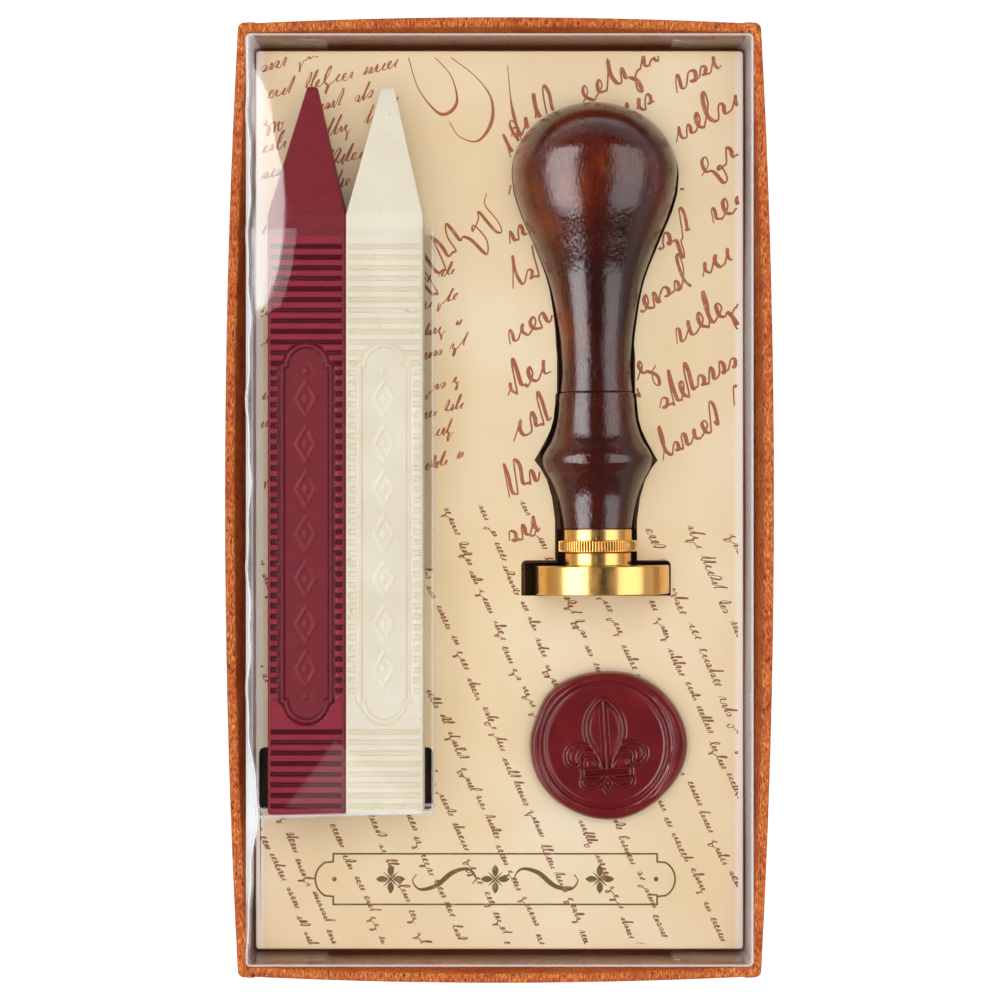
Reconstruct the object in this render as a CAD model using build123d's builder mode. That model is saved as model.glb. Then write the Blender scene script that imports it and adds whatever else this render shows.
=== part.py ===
from build123d import *
import math
import os

# Wax seal set box. A paper-covered board tray holds a printed card platform over a foam insert.
# Two wax sticks in a clear sleeve, a wood and brass seal stamp and a wax seal sample lie in it,
# and a clear folded lid stands inside the tray's walls.
# Millimetres. Width along X, length along Y, +Z up. Origin: middle of the underside.

# ---- Tray: greyboard panels covered with paper ----
TRAY_WIDTH = 96.6  # outside, at the foot and at the corners
TRAY_LENGTH = 175.8
TRAY_HEIGHT = 25.5
WALL_BOARD = 1.4
BASE_BOARD = 1.5
WRAP = 0.25  # covering paper
WRAP_CORNER = 1.2  # outer radius of the upright corners
RIM_BOW_SIDE = 2.4  # how far the rim of a long wall leans out at mid-length
RIM_BOW_END = 1.2
TURN_IN = 12.0  # covering paper folded under the base
PAPER_JOINT = 0.3  # gap between the turned-in paper and the base sheet
STAY_TAPE = 0.1  # paper tape round the corners of the boards
STAY_LEG = 12.0
STAY_MARGIN = 3.0  # bare board above and below the tape

# ---- Clear lid, one folded and glued sheet of film ----
LID_FILM = 0.3
LID_SIDE_GAP = 0.3  # to the tray's long walls
LID_END_GAP = 1.35  # to the tray's end walls
LID_OVER_KNOB = 1.6  # lid top above the highest point of the stamp
LID_SEAT_GAP = 0.2  # skirt above the base board
LID_CORNER = 1.0
LID_FOLD = 0.6  # outer radius of the folds round the top
TAB_WIDTH = 14.0  # corner glue tabs, inside the end skirts
TAB_TAPER = 4.0
TAB_END_GAP = 2.0

# ---- Platform card with folded sides, over the foam insert ----
CARD = 0.5
FOAM_UNDER_KNOB = 1.2
CARD_SIDE_GAP = 0.3  # to the lid's long skirts
CARD_END_GAP = 0.25  # to the glue tabs
CARD_FOLD = 1.2
CARD_CORNER = 0.7
GLUE_STRIP = 0.15  # double-sided tape under the insert
GLUE_STRIP_WIDTH = 15.0
GLUE_STRIP_SHARE = 0.8  # of the insert's length

# ---- Wax sticks ----
STICK_WIDTH = 14.1
STICK_DEPTH = 14.2
STICK_LENGTH = 133.2
STICK_TAPER = 24.0
STICK_TIP = 2.3
STICK_GAP = 0.1  # between the two sticks
STICK_EDGE = 0.4
STICK_HEAD_MARGIN = 7.9  # card's head edge to the tips
STICK_SIDE_MARGIN = 3.3  # card's side edge to the red stick
RIB_PITCH = 1.93
RIB_GROOVE = 0.8
RIB_DEPTH = 0.35
BUTT_RIBS = 8
BUTT_RIB_START = 1.6  # butt end to the first groove
HEAD_RIBS = 10
HEAD_RIB_BACK = 22.7  # first groove of the head end, below the taper
PANEL_START = 17.0
PANEL_RIB_GAP = 1.1  # panel to the head end's first groove
PANEL_SIDE = 2.55  # panel to the stick's sides
PANEL_BORDER = 0.9
PANEL_DEPTH = 0.4
BEAD_INSET = 1.15  # bead column from the stick's side
BEAD_SLIT = 1.3

# ---- Clear sleeve round the sticks ----
SLEEVE_SIDE_MARGIN = 0.2  # card's side edge to the sleeve
SLEEVE_SLACK = 5.1  # how much wider the sleeve is than the two sticks
SLEEVE_BELOW_TAPER = 2.55  # open end to the sticks' tapers
SLEEVE_FILM = 0.2
SLEEVE_GAP = 0.15  # above and below the sticks, and under the sleeve
SLEEVE_FOLD = 0.5

# ---- Slot in the card behind the sleeve ----
SLOT_INSET = 0.45  # narrower than the sleeve on each side
SLOT_LENGTH = 11.6
SLOT_CORNER = 1.2
SLOT_DEPTH = 6.5
SLOT_FROM_BUTT = 5.4  # middle of the slot above the sticks' butts

# ---- Stamp. Distances along it start at the sealing face ----
STAMP_FROM_SIDE = 27.13  # card's side edge to the middle of the sealing face
STAMP_HEAD_MARGIN = 9.7  # card's head edge to the top of the knob
STAMP_TILT = 0.45  # degrees, the knob leans towards -X
DISC_DIAMETER = 25.0
DISC_THICKNESS = 5.6
DISC_OFFSET = 0.8  # the disc is set off the handle's axis
DISC_EDGE = 0.4
NECK_DIAMETER = 12.7
NECK_LENGTH = 2.2
HEAD_GAP = 0.06  # between head and collar
KNURL_DIAMETER = 14.6
KNURL_LENGTH = 2.2
KNURL_DEPTH = 0.35
KNURL_COUNT = 40
COLLAR_DIAMETER = 13.0
COLLAR_LENGTH = 2.1
SPIGOT_DIAMETER = 9.5
SPIGOT_LENGTH = 5.0
STUD_DIAMETER = 6.0
STUD_RUNNING_GAP = 0.06
STUD_LENGTH = 18.0
STUD_START = 2.6
STUD_CHAMFER = 0.5
BORE_GAP = 0.02  # round the stud and the spigot in the handle
HANDLE_LENGTH = 79.5
HANDLE_END_RADIUS = 6.55
FOOT_SWELL = 0.65  # the handle swells by this between the collar and the ring
FOOT_SHARE = 0.44  # of the way from the collar to the ring
FOOT_WAY = (0.05, 1)  # direction of the outline at the collar
RING_RADIUS = 10.25
RING_PLACE = 13.5
RING_ROUND = 1.6  # half length of the rounded crest
RING_CREST_SHARE = 0.3  # of that half length, how far the crest falls to its ends
RING_RISE = (1.1, 1)  # directions of the outline into and out of the crest
RING_FALL = (-0.9, 1)
RING_FALL_SHARE = 0.35  # of the way from the crest to the line, where the fall is half done
WAIST_RADIUS = 6.75
WAIST_SHARE = 0.15  # of the flank that is still as slim as the waist
WAIST_EASE = 0.05  # how much wider the handle is at the line than above it
LINE_PLACE = 25.8  # fine turned line above the ring
LINE_DEPTH = 0.25
FLANK_LOW = (0.23, 0.5)  # share of the knob's swell, share of the way from line to knob
FLANK_MID = (0.51, 0.66)
FLANK_HIGH = (0.8, 0.81)
KNOB_RADIUS = 15.4
KNOB_DOME = 13.3  # widest place of the knob to its top
DOME_POINTS = 4

# ---- Opening in the card for the stamp ----
DIE_SHIFT = 0.37  # the opening's middle lies this far to the left of the stamp's
DIE_DISC_SIDE = 1.45  # wider than the disc on each side
DIE_DISC_GAP = 0.35  # below the sealing face
DIE_DISC_TOP = 0.67  # above the disc
DIE_SHAFT_SIDE = 1.15  # wider than the waist beside collar and ring
DIE_WAIST_SIDE = 0.75
DIE_POINT_SIDE = 1.35  # wider than the ring
DIE_POINT_BACK = 0.7  # the points lie a little below the ring
DIE_POINT_FALL = 8.4  # from the point down to the shaft
DIE_POINT_RISE = ((0.1, 1), (1, 0.9))  # directions of the edge into the point and out of it
DIE_POINT_DROP = ((-1, 0.9), (-0.1, 1))
DIE_WAIST_SHARE = 0.22  # of the flank, where the opening's sides are straight
DIE_FLANK_WAY = (0.05, 1)
DIE_FLANK_GAP = 0.9
DIE_KNOB_GAP = 0.7
FOAM_FIT = 0.3

# ---- Wax seal sample ----
SEAL_SHIFT = 1.73  # to the right of the stamp's middle
SEAL_BELOW_STAMP = 28.0  # middle of the seal to the stamp's sealing face
SEAL_LIP_SIDE = 3.25  # wax pressed out round the print
SEAL_LIP_END = 2.4
SEAL_THICKNESS = 3.0
SEAL_EDGE = 1.1
SEAL_WAVE = 0.35  # how far the rim strays from an ellipse
SEAL_LOBES = 3
SEAL_LOBE_START = 0.7  # radians
SEAL_RIM_POINTS = 16
SEAL_GLUE = 0.3
SEAL_GLUE_DIAMETER = 14.0
PRINT_INSET = 1.0  # the print is this much smaller than the disc all round
PRINT_DEPTH = 0.9
PRINT_SHIFT = -0.4
LILY_SHARE = 0.752  # height of the lily as a share of the print
LILY_RELIEF = 0.5
LILY_TILT = 3.5
# Right half of the lily, (across, up) as shares of its height from its middle
LILY_LEAF = ((0, 0.5), (0.135, 0.1), (0.05, -0.2))
LILY_LEAF_WAYS = ((0.5, -1), (-0.2, -1))
LILY_PETAL = ((0.08, -0.2), (0.18, 0.02), (0.33, 0.1), (0.42, -0.03))
LILY_PETAL_WAYS = ((0.2, 1), (-0.2, -1))
LILY_PETAL_BACK = ((0.42, -0.03), (0.36, -0.1), (0.29, -0.04), (0.23, -0.07), (0.18, -0.2))
LILY_PETAL_BACK_WAYS = ((-0.3, -1), (-0.1, -1))
LILY_TAIL = ((0.06, -0.3), (0.07, -0.38), (0, -0.5))
LILY_TAIL_WAYS = ((0.3, -1), (-0.7, -1))
LILY_CURL = ((0.17, -0.3), (0.25, -0.36), (0.15, -0.41), (0.1, -0.3))
LILY_CURL_WAYS = ((1, -0.6), (-0.1, 1))
LILY_BAND = (0.5, 0.06)
LILY_BAND_UP = -0.25

# ---- Worked out from the sizes above ----
WALL = WRAP + WALL_BOARD + WRAP
FLOOR_Z = WRAP + BASE_BOARD
BOARD_CORNER = WRAP_CORNER - WRAP
INNER_WIDTH = TRAY_WIDTH - 2 * WALL
INNER_LENGTH = TRAY_LENGTH - 2 * WALL

FOAM_LOW_Z = FLOOR_Z + GLUE_STRIP
CARD_Z = FOAM_LOW_Z + FOAM_UNDER_KNOB + KNOB_RADIUS
FOAM_TOP_Z = CARD_Z - CARD

LID_WIDTH = INNER_WIDTH - 2 * LID_SIDE_GAP
LID_LENGTH = INNER_LENGTH - 2 * LID_END_GAP
LID_LOW_Z = FLOOR_Z + LID_SEAT_GAP
LID_TOP_Z = CARD_Z + KNOB_RADIUS + LID_OVER_KNOB
LID_HEIGHT = LID_TOP_Z - LID_LOW_Z

CARD_WIDTH = LID_WIDTH - 2 * (LID_FILM + CARD_SIDE_GAP)
CARD_LENGTH = LID_LENGTH - 2 * (2 * LID_FILM + CARD_END_GAP)
FOAM_WIDTH = CARD_WIDTH - 2 * CARD
FOAM_LENGTH = CARD_LENGTH - 2 * CARD

SLEEVE_LOW_Z = CARD_Z + SLEEVE_GAP
STICK_LOW_Z = SLEEVE_LOW_Z + SLEEVE_FILM + SLEEVE_GAP
STICK_MID_Z = STICK_LOW_Z + STICK_DEPTH / 2
STICK_STEP = STICK_WIDTH + STICK_GAP
STICK_PAIR_X = STICK_SIDE_MARGIN + STICK_WIDTH + STICK_GAP / 2 - CARD_WIDTH / 2
STICK_BUTT_Y = CARD_LENGTH / 2 - STICK_HEAD_MARGIN - STICK_LENGTH
SHOULDER = STICK_LENGTH - STICK_TAPER
HEAD_RIB_START = SHOULDER - HEAD_RIB_BACK
PANEL_LENGTH = HEAD_RIB_START - PANEL_RIB_GAP - PANEL_START
PANEL_WIDTH = STICK_WIDTH - 2 * PANEL_SIDE
BEAD_COLUMN = STICK_WIDTH / 2 - BEAD_INSET

SLEEVE_WIDTH = 2 * STICK_WIDTH + STICK_GAP + SLEEVE_SLACK
SLEEVE_HEIGHT = STICK_DEPTH + 2 * (SLEEVE_FILM + SLEEVE_GAP)
SLEEVE_X = SLEEVE_SIDE_MARGIN + SLEEVE_WIDTH / 2 - CARD_WIDTH / 2
SLEEVE_BUTT_Y = STICK_BUTT_Y - SLEEVE_GAP - SLEEVE_FILM
SLEEVE_LENGTH = STICK_BUTT_Y + SHOULDER - SLEEVE_BELOW_TAPER - SLEEVE_BUTT_Y
SLOT_WIDTH = SLEEVE_WIDTH - 2 * SLOT_INSET
SLOT_Y = STICK_BUTT_Y + SLOT_FROM_BUTT

COLLAR_START = DISC_THICKNESS + NECK_LENGTH
HANDLE_START = COLLAR_START + KNURL_LENGTH + COLLAR_LENGTH
CREST_LOW = HANDLE_START + RING_PLACE - RING_ROUND
CREST_HIGH = HANDLE_START + RING_PLACE + RING_ROUND
CREST_RADIUS = RING_RADIUS - RING_CREST_SHARE * RING_ROUND
CREST_FALL_RADIUS = (CREST_RADIUS + WAIST_RADIUS) / 2
LINE_AT = HANDLE_START + LINE_PLACE
CREST_FALL = CREST_HIGH + RING_FALL_SHARE * (LINE_AT - CREST_HIGH)
HANDLE_TOP = HANDLE_START + HANDLE_LENGTH
KNOB_AT = HANDLE_TOP - KNOB_DOME
FLANK = KNOB_AT - LINE_AT
SWELL = KNOB_RADIUS - WAIST_RADIUS
STAMP_X = CARD_WIDTH / 2 - STAMP_FROM_SIDE
STAMP_Y = CARD_LENGTH / 2 - STAMP_HEAD_MARGIN - HANDLE_TOP
STAMP_PLANE = Plane(
    origin=(STAMP_X, STAMP_Y, CARD_Z),
    x_dir=(math.cos(math.radians(STAMP_TILT)), math.sin(math.radians(STAMP_TILT)), 0),
    z_dir=(0, 0, 1),
)
STAMP_AXIS = Axis(STAMP_PLANE.origin, STAMP_PLANE.y_dir)
DIE_SHAFT_HALF = WAIST_RADIUS + DIE_SHAFT_SIDE
DIE_WAIST_HALF = WAIST_RADIUS + DIE_WAIST_SIDE

SEAL_X = STAMP_X + SEAL_SHIFT
SEAL_Y = STAMP_Y - SEAL_BELOW_STAMP
PRINT_DIAMETER = DISC_DIAMETER - 2 * PRINT_INSET
SEAL_WIDTH = PRINT_DIAMETER + 2 * SEAL_LIP_SIDE
SEAL_LENGTH = PRINT_DIAMETER + 2 * SEAL_LIP_END
LILY_HEIGHT = LILY_SHARE * PRINT_DIAMETER
SEAL_LOW_Z = CARD_Z + SEAL_GLUE
SEAL_TOP_Z = SEAL_LOW_Z + SEAL_THICKNESS

os.makedirs("parts", exist_ok=True)


def save(part, name):
    """Label a finished piece and write it."""
    part.label = name
    export_step(part, f"parts/{name}.step")


def side(start, end, bow):
    """One side of an outline: a line, or an arc that bulges to the right of its way by bow."""
    if bow == 0:
        return Line(start, end)
    along = (Vector(*end) - Vector(*start)).normalized()
    middle = (Vector(*start) + Vector(*end)) * 0.5
    return ThreePointArc(start, middle + Vector(along.Y, -along.X) * bow, end)


def bowed_outline(half_x, half_y, bow_x, bow_y, corner):
    """Rounded rectangle, drawn anticlockwise, whose sides bulge out at mid-length."""
    turns = (
        ((half_x, -half_y), (0, 1), bow_x),
        ((half_x, half_y), (-1, 0), bow_y),
        ((-half_x, half_y), (0, -1), bow_x),
        ((-half_x, -half_y), (1, 0), bow_y),
    )
    for index, ((x, y), (ux, uy), bow) in enumerate(turns):
        (next_x, next_y), (next_ux, next_uy), _ = turns[(index + 1) % 4]
        end = (next_x - ux * corner, next_y - uy * corner)
        side((x + ux * corner, y + uy * corner), end, bow)
        if corner > 0:
            inset = corner * (1 - math.sqrt(0.5))
            middle = (next_x - (ux - next_ux) * inset, next_y - (uy - next_uy) * inset)
            ThreePointArc(end, middle, (next_x + next_ux * corner, next_y + next_uy * corner))


def tray_blank(inset, corner):
    """Full-height block whose upright faces lie inset from the tray's outer faces."""
    with BuildPart() as blank:
        for level, lean in ((0, 0), (TRAY_HEIGHT, 1)):
            with BuildSketch(Plane.XY.offset(level)):
                with BuildLine():
                    bowed_outline(
                        TRAY_WIDTH / 2 - inset,
                        TRAY_LENGTH / 2 - inset,
                        lean * RIM_BOW_SIDE,
                        lean * RIM_BOW_END,
                        corner,
                    )
                make_face()
        loft(ruled=True)
    return blank.part


def slab(low, high, mode):
    """Box much wider than the tray between two levels."""
    with Locations((0, 0, low)):
        Box(
            2 * TRAY_WIDTH,
            2 * TRAY_LENGTH,
            high - low,
            align=(Align.CENTER, Align.CENTER, Align.MIN),
            mode=mode,
        )


# ---- Tray boards ----
outer_blank = tray_blank(0, WRAP_CORNER)
board_blank = tray_blank(WRAP, BOARD_CORNER)
hollow_blank = tray_blank(WALL, 0)
board_hollow = tray_blank(WRAP + WALL_BOARD, 0)
stay_blank = tray_blank(WRAP - STAY_TAPE, BOARD_CORNER + STAY_TAPE)

with BuildPart() as base_board:
    add(board_blank)
    slab(WRAP, FLOOR_Z, Mode.INTERSECT)
save(base_board.part, "base_board")

with BuildPart() as board_ring:
    add(board_blank)
    add(board_hollow, mode=Mode.SUBTRACT)
    slab(FLOOR_Z, TRAY_HEIGHT - WRAP, Mode.INTERSECT)

side_wall_x = TRAY_WIDTH / 2 - WRAP - WALL_BOARD
for name, way in (("wall_board_left", -1), ("wall_board_right", 1)):
    with BuildPart() as side_wall:
        add(board_ring.part)
        with Locations((way * (side_wall_x + TRAY_WIDTH / 2), 0, 0)):
            Box(TRAY_WIDTH, 2 * TRAY_LENGTH, TRAY_LENGTH, mode=Mode.INTERSECT)
    save(side_wall.part, name)

for name, way in (("wall_board_foot", -1), ("wall_board_head", 1)):
    with BuildPart() as end_wall:
        add(board_ring.part)
        with Locations((0, way * TRAY_LENGTH / 2, 0)):
            Box(2 * side_wall_x, TRAY_LENGTH, TRAY_LENGTH, mode=Mode.INTERSECT)
    save(end_wall.part, name)

# ---- Paper tape round the corners of the boards ----
with BuildPart() as corner_stays:
    add(stay_blank)
    add(board_blank, mode=Mode.SUBTRACT)
    slab(FLOOR_Z + STAY_MARGIN, TRAY_HEIGHT - STAY_MARGIN, Mode.INTERSECT)
    with GridLocations(TRAY_WIDTH, TRAY_LENGTH, 2, 2):
        Box(2 * STAY_LEG, 2 * STAY_LEG, TRAY_LENGTH, mode=Mode.INTERSECT)
save(corner_stays.part, "corner_stays")

# ---- Covering paper: outside, over the rim, down the inside and turned in under the base ----
with BuildPart() as tray_hollow:
    add(hollow_blank)
    slab(FLOOR_Z, 2 * TRAY_HEIGHT, Mode.INTERSECT)

with BuildPart() as tray_wrap:
    add(outer_blank)
    add(tray_hollow.part, mode=Mode.SUBTRACT)
    add(base_board.part, mode=Mode.SUBTRACT)
    add(board_ring.part, mode=Mode.SUBTRACT)
    add(corner_stays.part, mode=Mode.SUBTRACT)
    Box(TRAY_WIDTH - 2 * TURN_IN, TRAY_LENGTH - 2 * TURN_IN, 2 * WRAP, mode=Mode.SUBTRACT)
save(tray_wrap.part, "tray_wrap")

with BuildPart() as base_sheet:
    sheet_inset = TURN_IN + PAPER_JOINT
    with BuildSketch():
        Rectangle(TRAY_WIDTH - 2 * sheet_inset, TRAY_LENGTH - 2 * sheet_inset)
    extrude(amount=WRAP)
save(base_sheet.part, "base_sheet")

# ---- Foam insert, its glue strips and the opening for the stamp ----


def dome(half, start, end):
    """Quarter of an ellipse from the widest point to the axis, as one smooth curve."""
    angles = [math.pi / 2 * step / (DOME_POINTS - 1) for step in range(DOME_POINTS)]
    Spline(
        *[(half * math.cos(angle), start + (end - start) * math.sin(angle)) for angle in angles],
        tangents=((0, 1), (-1, 0)),
    )


def handle_curve(grow):
    """Half outline of the handle from its collar end to the top of the knob, radii grown."""
    waist = WAIST_RADIUS + grow
    flank = [
        (waist + out * SWELL, LINE_AT + up * FLANK)
        for out, up in (FLANK_LOW, FLANK_MID, FLANK_HIGH)
    ]
    Spline(
        (HANDLE_END_RADIUS + grow, HANDLE_START),
        (HANDLE_END_RADIUS + FOOT_SWELL + grow, HANDLE_START + FOOT_SHARE * RING_PLACE),
        (CREST_RADIUS + grow, CREST_LOW),
        tangents=(FOOT_WAY, RING_RISE),
    )
    ThreePointArc(
        (CREST_RADIUS + grow, CREST_LOW),
        (RING_RADIUS + grow, HANDLE_START + RING_PLACE),
        (CREST_RADIUS + grow, CREST_HIGH),
    )
    Spline(
        (CREST_RADIUS + grow, CREST_HIGH),
        (CREST_FALL_RADIUS + grow, CREST_FALL),
        (waist + WAIST_EASE, LINE_AT),
        (waist, LINE_AT + WAIST_SHARE * FLANK),
        *flank,
        (KNOB_RADIUS + grow, KNOB_AT),
        tangents=(RING_FALL, (0, 1)),
    )
    dome(KNOB_RADIUS + grow, KNOB_AT, HANDLE_TOP + grow)


with BuildPart() as stamp_space:
    with BuildSketch(STAMP_PLANE):
        with BuildLine():
            disc_space = DISC_DIAMETER / 2 + DISC_OFFSET + FOAM_FIT
            neck_space = KNURL_DIAMETER / 2 + FOAM_FIT
            disc_end = DISC_THICKNESS + FOAM_FIT
            Polyline(
                (0, HANDLE_TOP + FOAM_FIT),
                (0, -FOAM_FIT),
                (disc_space, -FOAM_FIT),
                (disc_space, disc_end),
                (neck_space, disc_end),
                (neck_space, HANDLE_START),
                (HANDLE_END_RADIUS + FOAM_FIT, HANDLE_START),
            )
            handle_curve(FOAM_FIT)
        make_face()
    revolve(axis=STAMP_AXIS)

with BuildPart() as foam_insert:
    with BuildSketch(Plane.XY.offset(FOAM_LOW_Z)):
        Rectangle(FOAM_WIDTH, FOAM_LENGTH)
    extrude(amount=FOAM_TOP_Z - FOAM_LOW_Z)
    fillet(foam_insert.edges().group_by(Axis.Z)[-1], CARD_FOLD - CARD)
    with BuildSketch(Plane.XY.offset(CARD_Z)):
        with Locations((SLEEVE_X, SLOT_Y)):
            RectangleRounded(SLOT_WIDTH, SLOT_LENGTH, SLOT_CORNER)
    extrude(amount=-SLOT_DEPTH, mode=Mode.SUBTRACT)
    add(stamp_space.part, mode=Mode.SUBTRACT)
save(foam_insert.part, "foam_insert")

with BuildPart() as glue_strips:
    with BuildSketch(Plane.XY.offset(FLOOR_Z)):
        with GridLocations(FOAM_WIDTH - 2 * GLUE_STRIP_WIDTH, 0, 2, 1):
            Rectangle(GLUE_STRIP_WIDTH, GLUE_STRIP_SHARE * FOAM_LENGTH)
    extrude(amount=GLUE_STRIP)
save(glue_strips.part, "insert_glue_strips")

# ---- Printed card platform ----


def die_cut_half():
    """Right half of the opening for the stamp, distances from the sealing face."""
    shaft_low = DISC_THICKNESS + DIE_DISC_TOP
    point = HANDLE_START + RING_PLACE - DIE_POINT_BACK
    point_half = RING_RADIUS + DIE_POINT_SIDE
    disc_half = DISC_DIAMETER / 2 + DIE_DISC_SIDE
    knob_half = KNOB_RADIUS + DIE_KNOB_GAP
    knob_end = HANDLE_TOP + DIE_KNOB_GAP
    flank = [
        (WAIST_RADIUS + DIE_FLANK_GAP + out * SWELL, LINE_AT + up * FLANK)
        for out, up in (FLANK_MID, FLANK_HIGH)
    ]
    Polyline(
        (0, -DIE_DISC_GAP),
        (disc_half, -DIE_DISC_GAP),
        (disc_half, shaft_low),
        (DIE_SHAFT_HALF, shaft_low),
        (DIE_SHAFT_HALF, point - DIE_POINT_FALL),
    )
    Spline(
        (DIE_SHAFT_HALF, point - DIE_POINT_FALL),
        (point_half, point),
        tangents=DIE_POINT_RISE,
    )
    Spline(
        (point_half, point),
        (CREST_FALL_RADIUS + DIE_FLANK_GAP, CREST_FALL),
        (DIE_SHAFT_HALF, LINE_AT),
        tangents=DIE_POINT_DROP,
    )
    Polyline(
        (DIE_SHAFT_HALF, LINE_AT),
        (DIE_WAIST_HALF, LINE_AT),
        (DIE_WAIST_HALF, LINE_AT + DIE_WAIST_SHARE * FLANK),
    )
    Spline(
        (DIE_WAIST_HALF, LINE_AT + DIE_WAIST_SHARE * FLANK),
        *flank,
        (knob_half, KNOB_AT),
        tangents=(DIE_FLANK_WAY, (0, 1)),
    )
    dome(knob_half, KNOB_AT, knob_end)
    Line((0, knob_end), (0, -DIE_DISC_GAP))


with BuildPart() as platform_card:
    with BuildSketch(Plane.XY.offset(FLOOR_Z)):
        RectangleRounded(CARD_WIDTH, CARD_LENGTH, CARD_CORNER)
    extrude(amount=CARD_Z - FLOOR_Z)
    fillet(platform_card.edges().group_by(Axis.Z)[-1], CARD_FOLD - CARD / 2)
    with BuildSketch(Plane.XY.offset(FLOOR_Z)):
        Rectangle(FOAM_WIDTH, FOAM_LENGTH)
    extrude(amount=FOAM_TOP_Z - FLOOR_Z, mode=Mode.SUBTRACT)
    with BuildSketch(Plane(origin=(STAMP_X - DIE_SHIFT, STAMP_Y, CARD_Z))):
        with BuildLine():
            die_cut_half()
        make_face()
        mirror(about=Plane.YZ)
    with BuildSketch(Plane.XY.offset(CARD_Z)):
        with Locations((SLEEVE_X, SLOT_Y)):
            RectangleRounded(SLOT_WIDTH, SLOT_LENGTH, SLOT_CORNER)
    extrude(amount=-2 * CARD, mode=Mode.SUBTRACT)
save(platform_card.part, "platform_card")

# ---- Clear lid ----
with BuildPart() as lid_cover:
    with BuildSketch(Plane.XY.offset(LID_LOW_Z)):
        RectangleRounded(LID_WIDTH, LID_LENGTH, LID_CORNER)
    extrude(amount=LID_HEIGHT)
    fillet(lid_cover.edges().group_by(Axis.Z)[-1], LID_FOLD)
    offset(amount=-LID_FILM, openings=lid_cover.faces().sort_by(Axis.Z)[0])
    tab_x = LID_WIDTH / 2 - LID_FILM
    tab_low = LID_LOW_Z + TAB_END_GAP
    tab_high = LID_TOP_Z - LID_FILM - TAB_END_GAP
    tab_y = LID_LENGTH / 2 - LID_FILM
    for way in (-1, 1):
        with BuildSketch(Plane(origin=(0, way * tab_y, 0), x_dir=(1, 0, 0), z_dir=(0, -way, 0))):
            for hand in (-1, 1):
                with BuildLine():
                    Polyline(
                        (hand * tab_x, way * tab_low),
                        (hand * (tab_x - TAB_WIDTH), way * (tab_low + TAB_TAPER)),
                        (hand * (tab_x - TAB_WIDTH), way * (tab_high - TAB_TAPER)),
                        (hand * tab_x, way * tab_high),
                        close=True,
                    )
                make_face()
        extrude(amount=LID_FILM)
save(lid_cover.part, "lid_cover")

# ---- Sleeve, open at the end where the tips stand out ----
with BuildPart() as stick_sleeve:
    sleeve_plane = Plane(
        origin=(SLEEVE_X, SLEEVE_BUTT_Y, SLEEVE_LOW_Z + SLEEVE_HEIGHT / 2),
        x_dir=(1, 0, 0),
        z_dir=(0, 1, 0),
    )
    with BuildSketch(sleeve_plane):
        RectangleRounded(SLEEVE_WIDTH, SLEEVE_HEIGHT, SLEEVE_FOLD)
    extrude(amount=SLEEVE_LENGTH)
    offset(amount=-SLEEVE_FILM, openings=stick_sleeve.faces().sort_by(Axis.Y)[-1])
save(stick_sleeve.part, "stick_sleeve")


# ---- Wax sticks ----


def wax_stick(name, middle_x):
    """Square stick with a four-sided point. Two faces have ribs, bead columns and a panel."""
    butt = Plane(origin=(middle_x, STICK_BUTT_Y, STICK_MID_Z), x_dir=(1, 0, 0), z_dir=(0, 1, 0))
    ribs = [BUTT_RIB_START + RIB_PITCH * row for row in range(BUTT_RIBS)]
    ribs += [HEAD_RIB_START + RIB_PITCH * row for row in range(HEAD_RIBS)]
    slits = [PANEL_START + RIB_PITCH * row for row in range(int(PANEL_LENGTH / RIB_PITCH) + 1)]
    with BuildPart() as stick:
        with BuildSketch(butt) as square:
            Rectangle(STICK_WIDTH, STICK_DEPTH)
            chamfer(square.vertices(), STICK_EDGE)
        extrude(amount=SHOULDER)
        with BuildSketch(butt.offset(SHOULDER)) as square:
            Rectangle(STICK_WIDTH, STICK_DEPTH)
            chamfer(square.vertices(), STICK_EDGE)
        with BuildSketch(butt.offset(STICK_LENGTH)) as square:
            Rectangle(STICK_TIP, STICK_TIP)
            chamfer(square.vertices(), STICK_EDGE * STICK_TIP / STICK_WIDTH)
        loft(ruled=True)
        for face_z in (STICK_MID_Z - STICK_DEPTH / 2, STICK_MID_Z + STICK_DEPTH / 2):
            with Locations(*[(middle_x, STICK_BUTT_Y + rib, face_z) for rib in ribs]):
                Box(STICK_WIDTH, RIB_GROOVE, 2 * RIB_DEPTH, mode=Mode.SUBTRACT)
            for hand in (-1, 1):
                column_x = middle_x + hand * BEAD_COLUMN
                with Locations(*[(column_x, STICK_BUTT_Y + slit, face_z) for slit in slits]):
                    Box(BEAD_SLIT, RIB_GROOVE, 2 * RIB_DEPTH, mode=Mode.SUBTRACT)
            panel_y = STICK_BUTT_Y + PANEL_START + PANEL_LENGTH / 2
            with BuildSketch(Plane(origin=(middle_x, panel_y, face_z))):
                SlotOverall(
                    PANEL_LENGTH - 2 * PANEL_BORDER,
                    PANEL_WIDTH - 2 * PANEL_BORDER,
                    rotation=90,
                )
            extrude(amount=PANEL_DEPTH, both=True, mode=Mode.SUBTRACT)
    save(stick.part, name)


wax_stick("wax_stick_red", STICK_PAIR_X - STICK_STEP / 2)
wax_stick("wax_stick_ivory", STICK_PAIR_X + STICK_STEP / 2)

# ---- Stamp ----


def across_stamp(distance, flip=False):
    """Plane square to the stamp's axis, at a distance from the sealing face."""
    direction = STAMP_PLANE.y_dir
    return Plane(
        origin=STAMP_PLANE.from_local_coords((0, distance, 0)),
        x_dir=STAMP_PLANE.x_dir,
        z_dir=-direction if flip else direction,
    )


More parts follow.
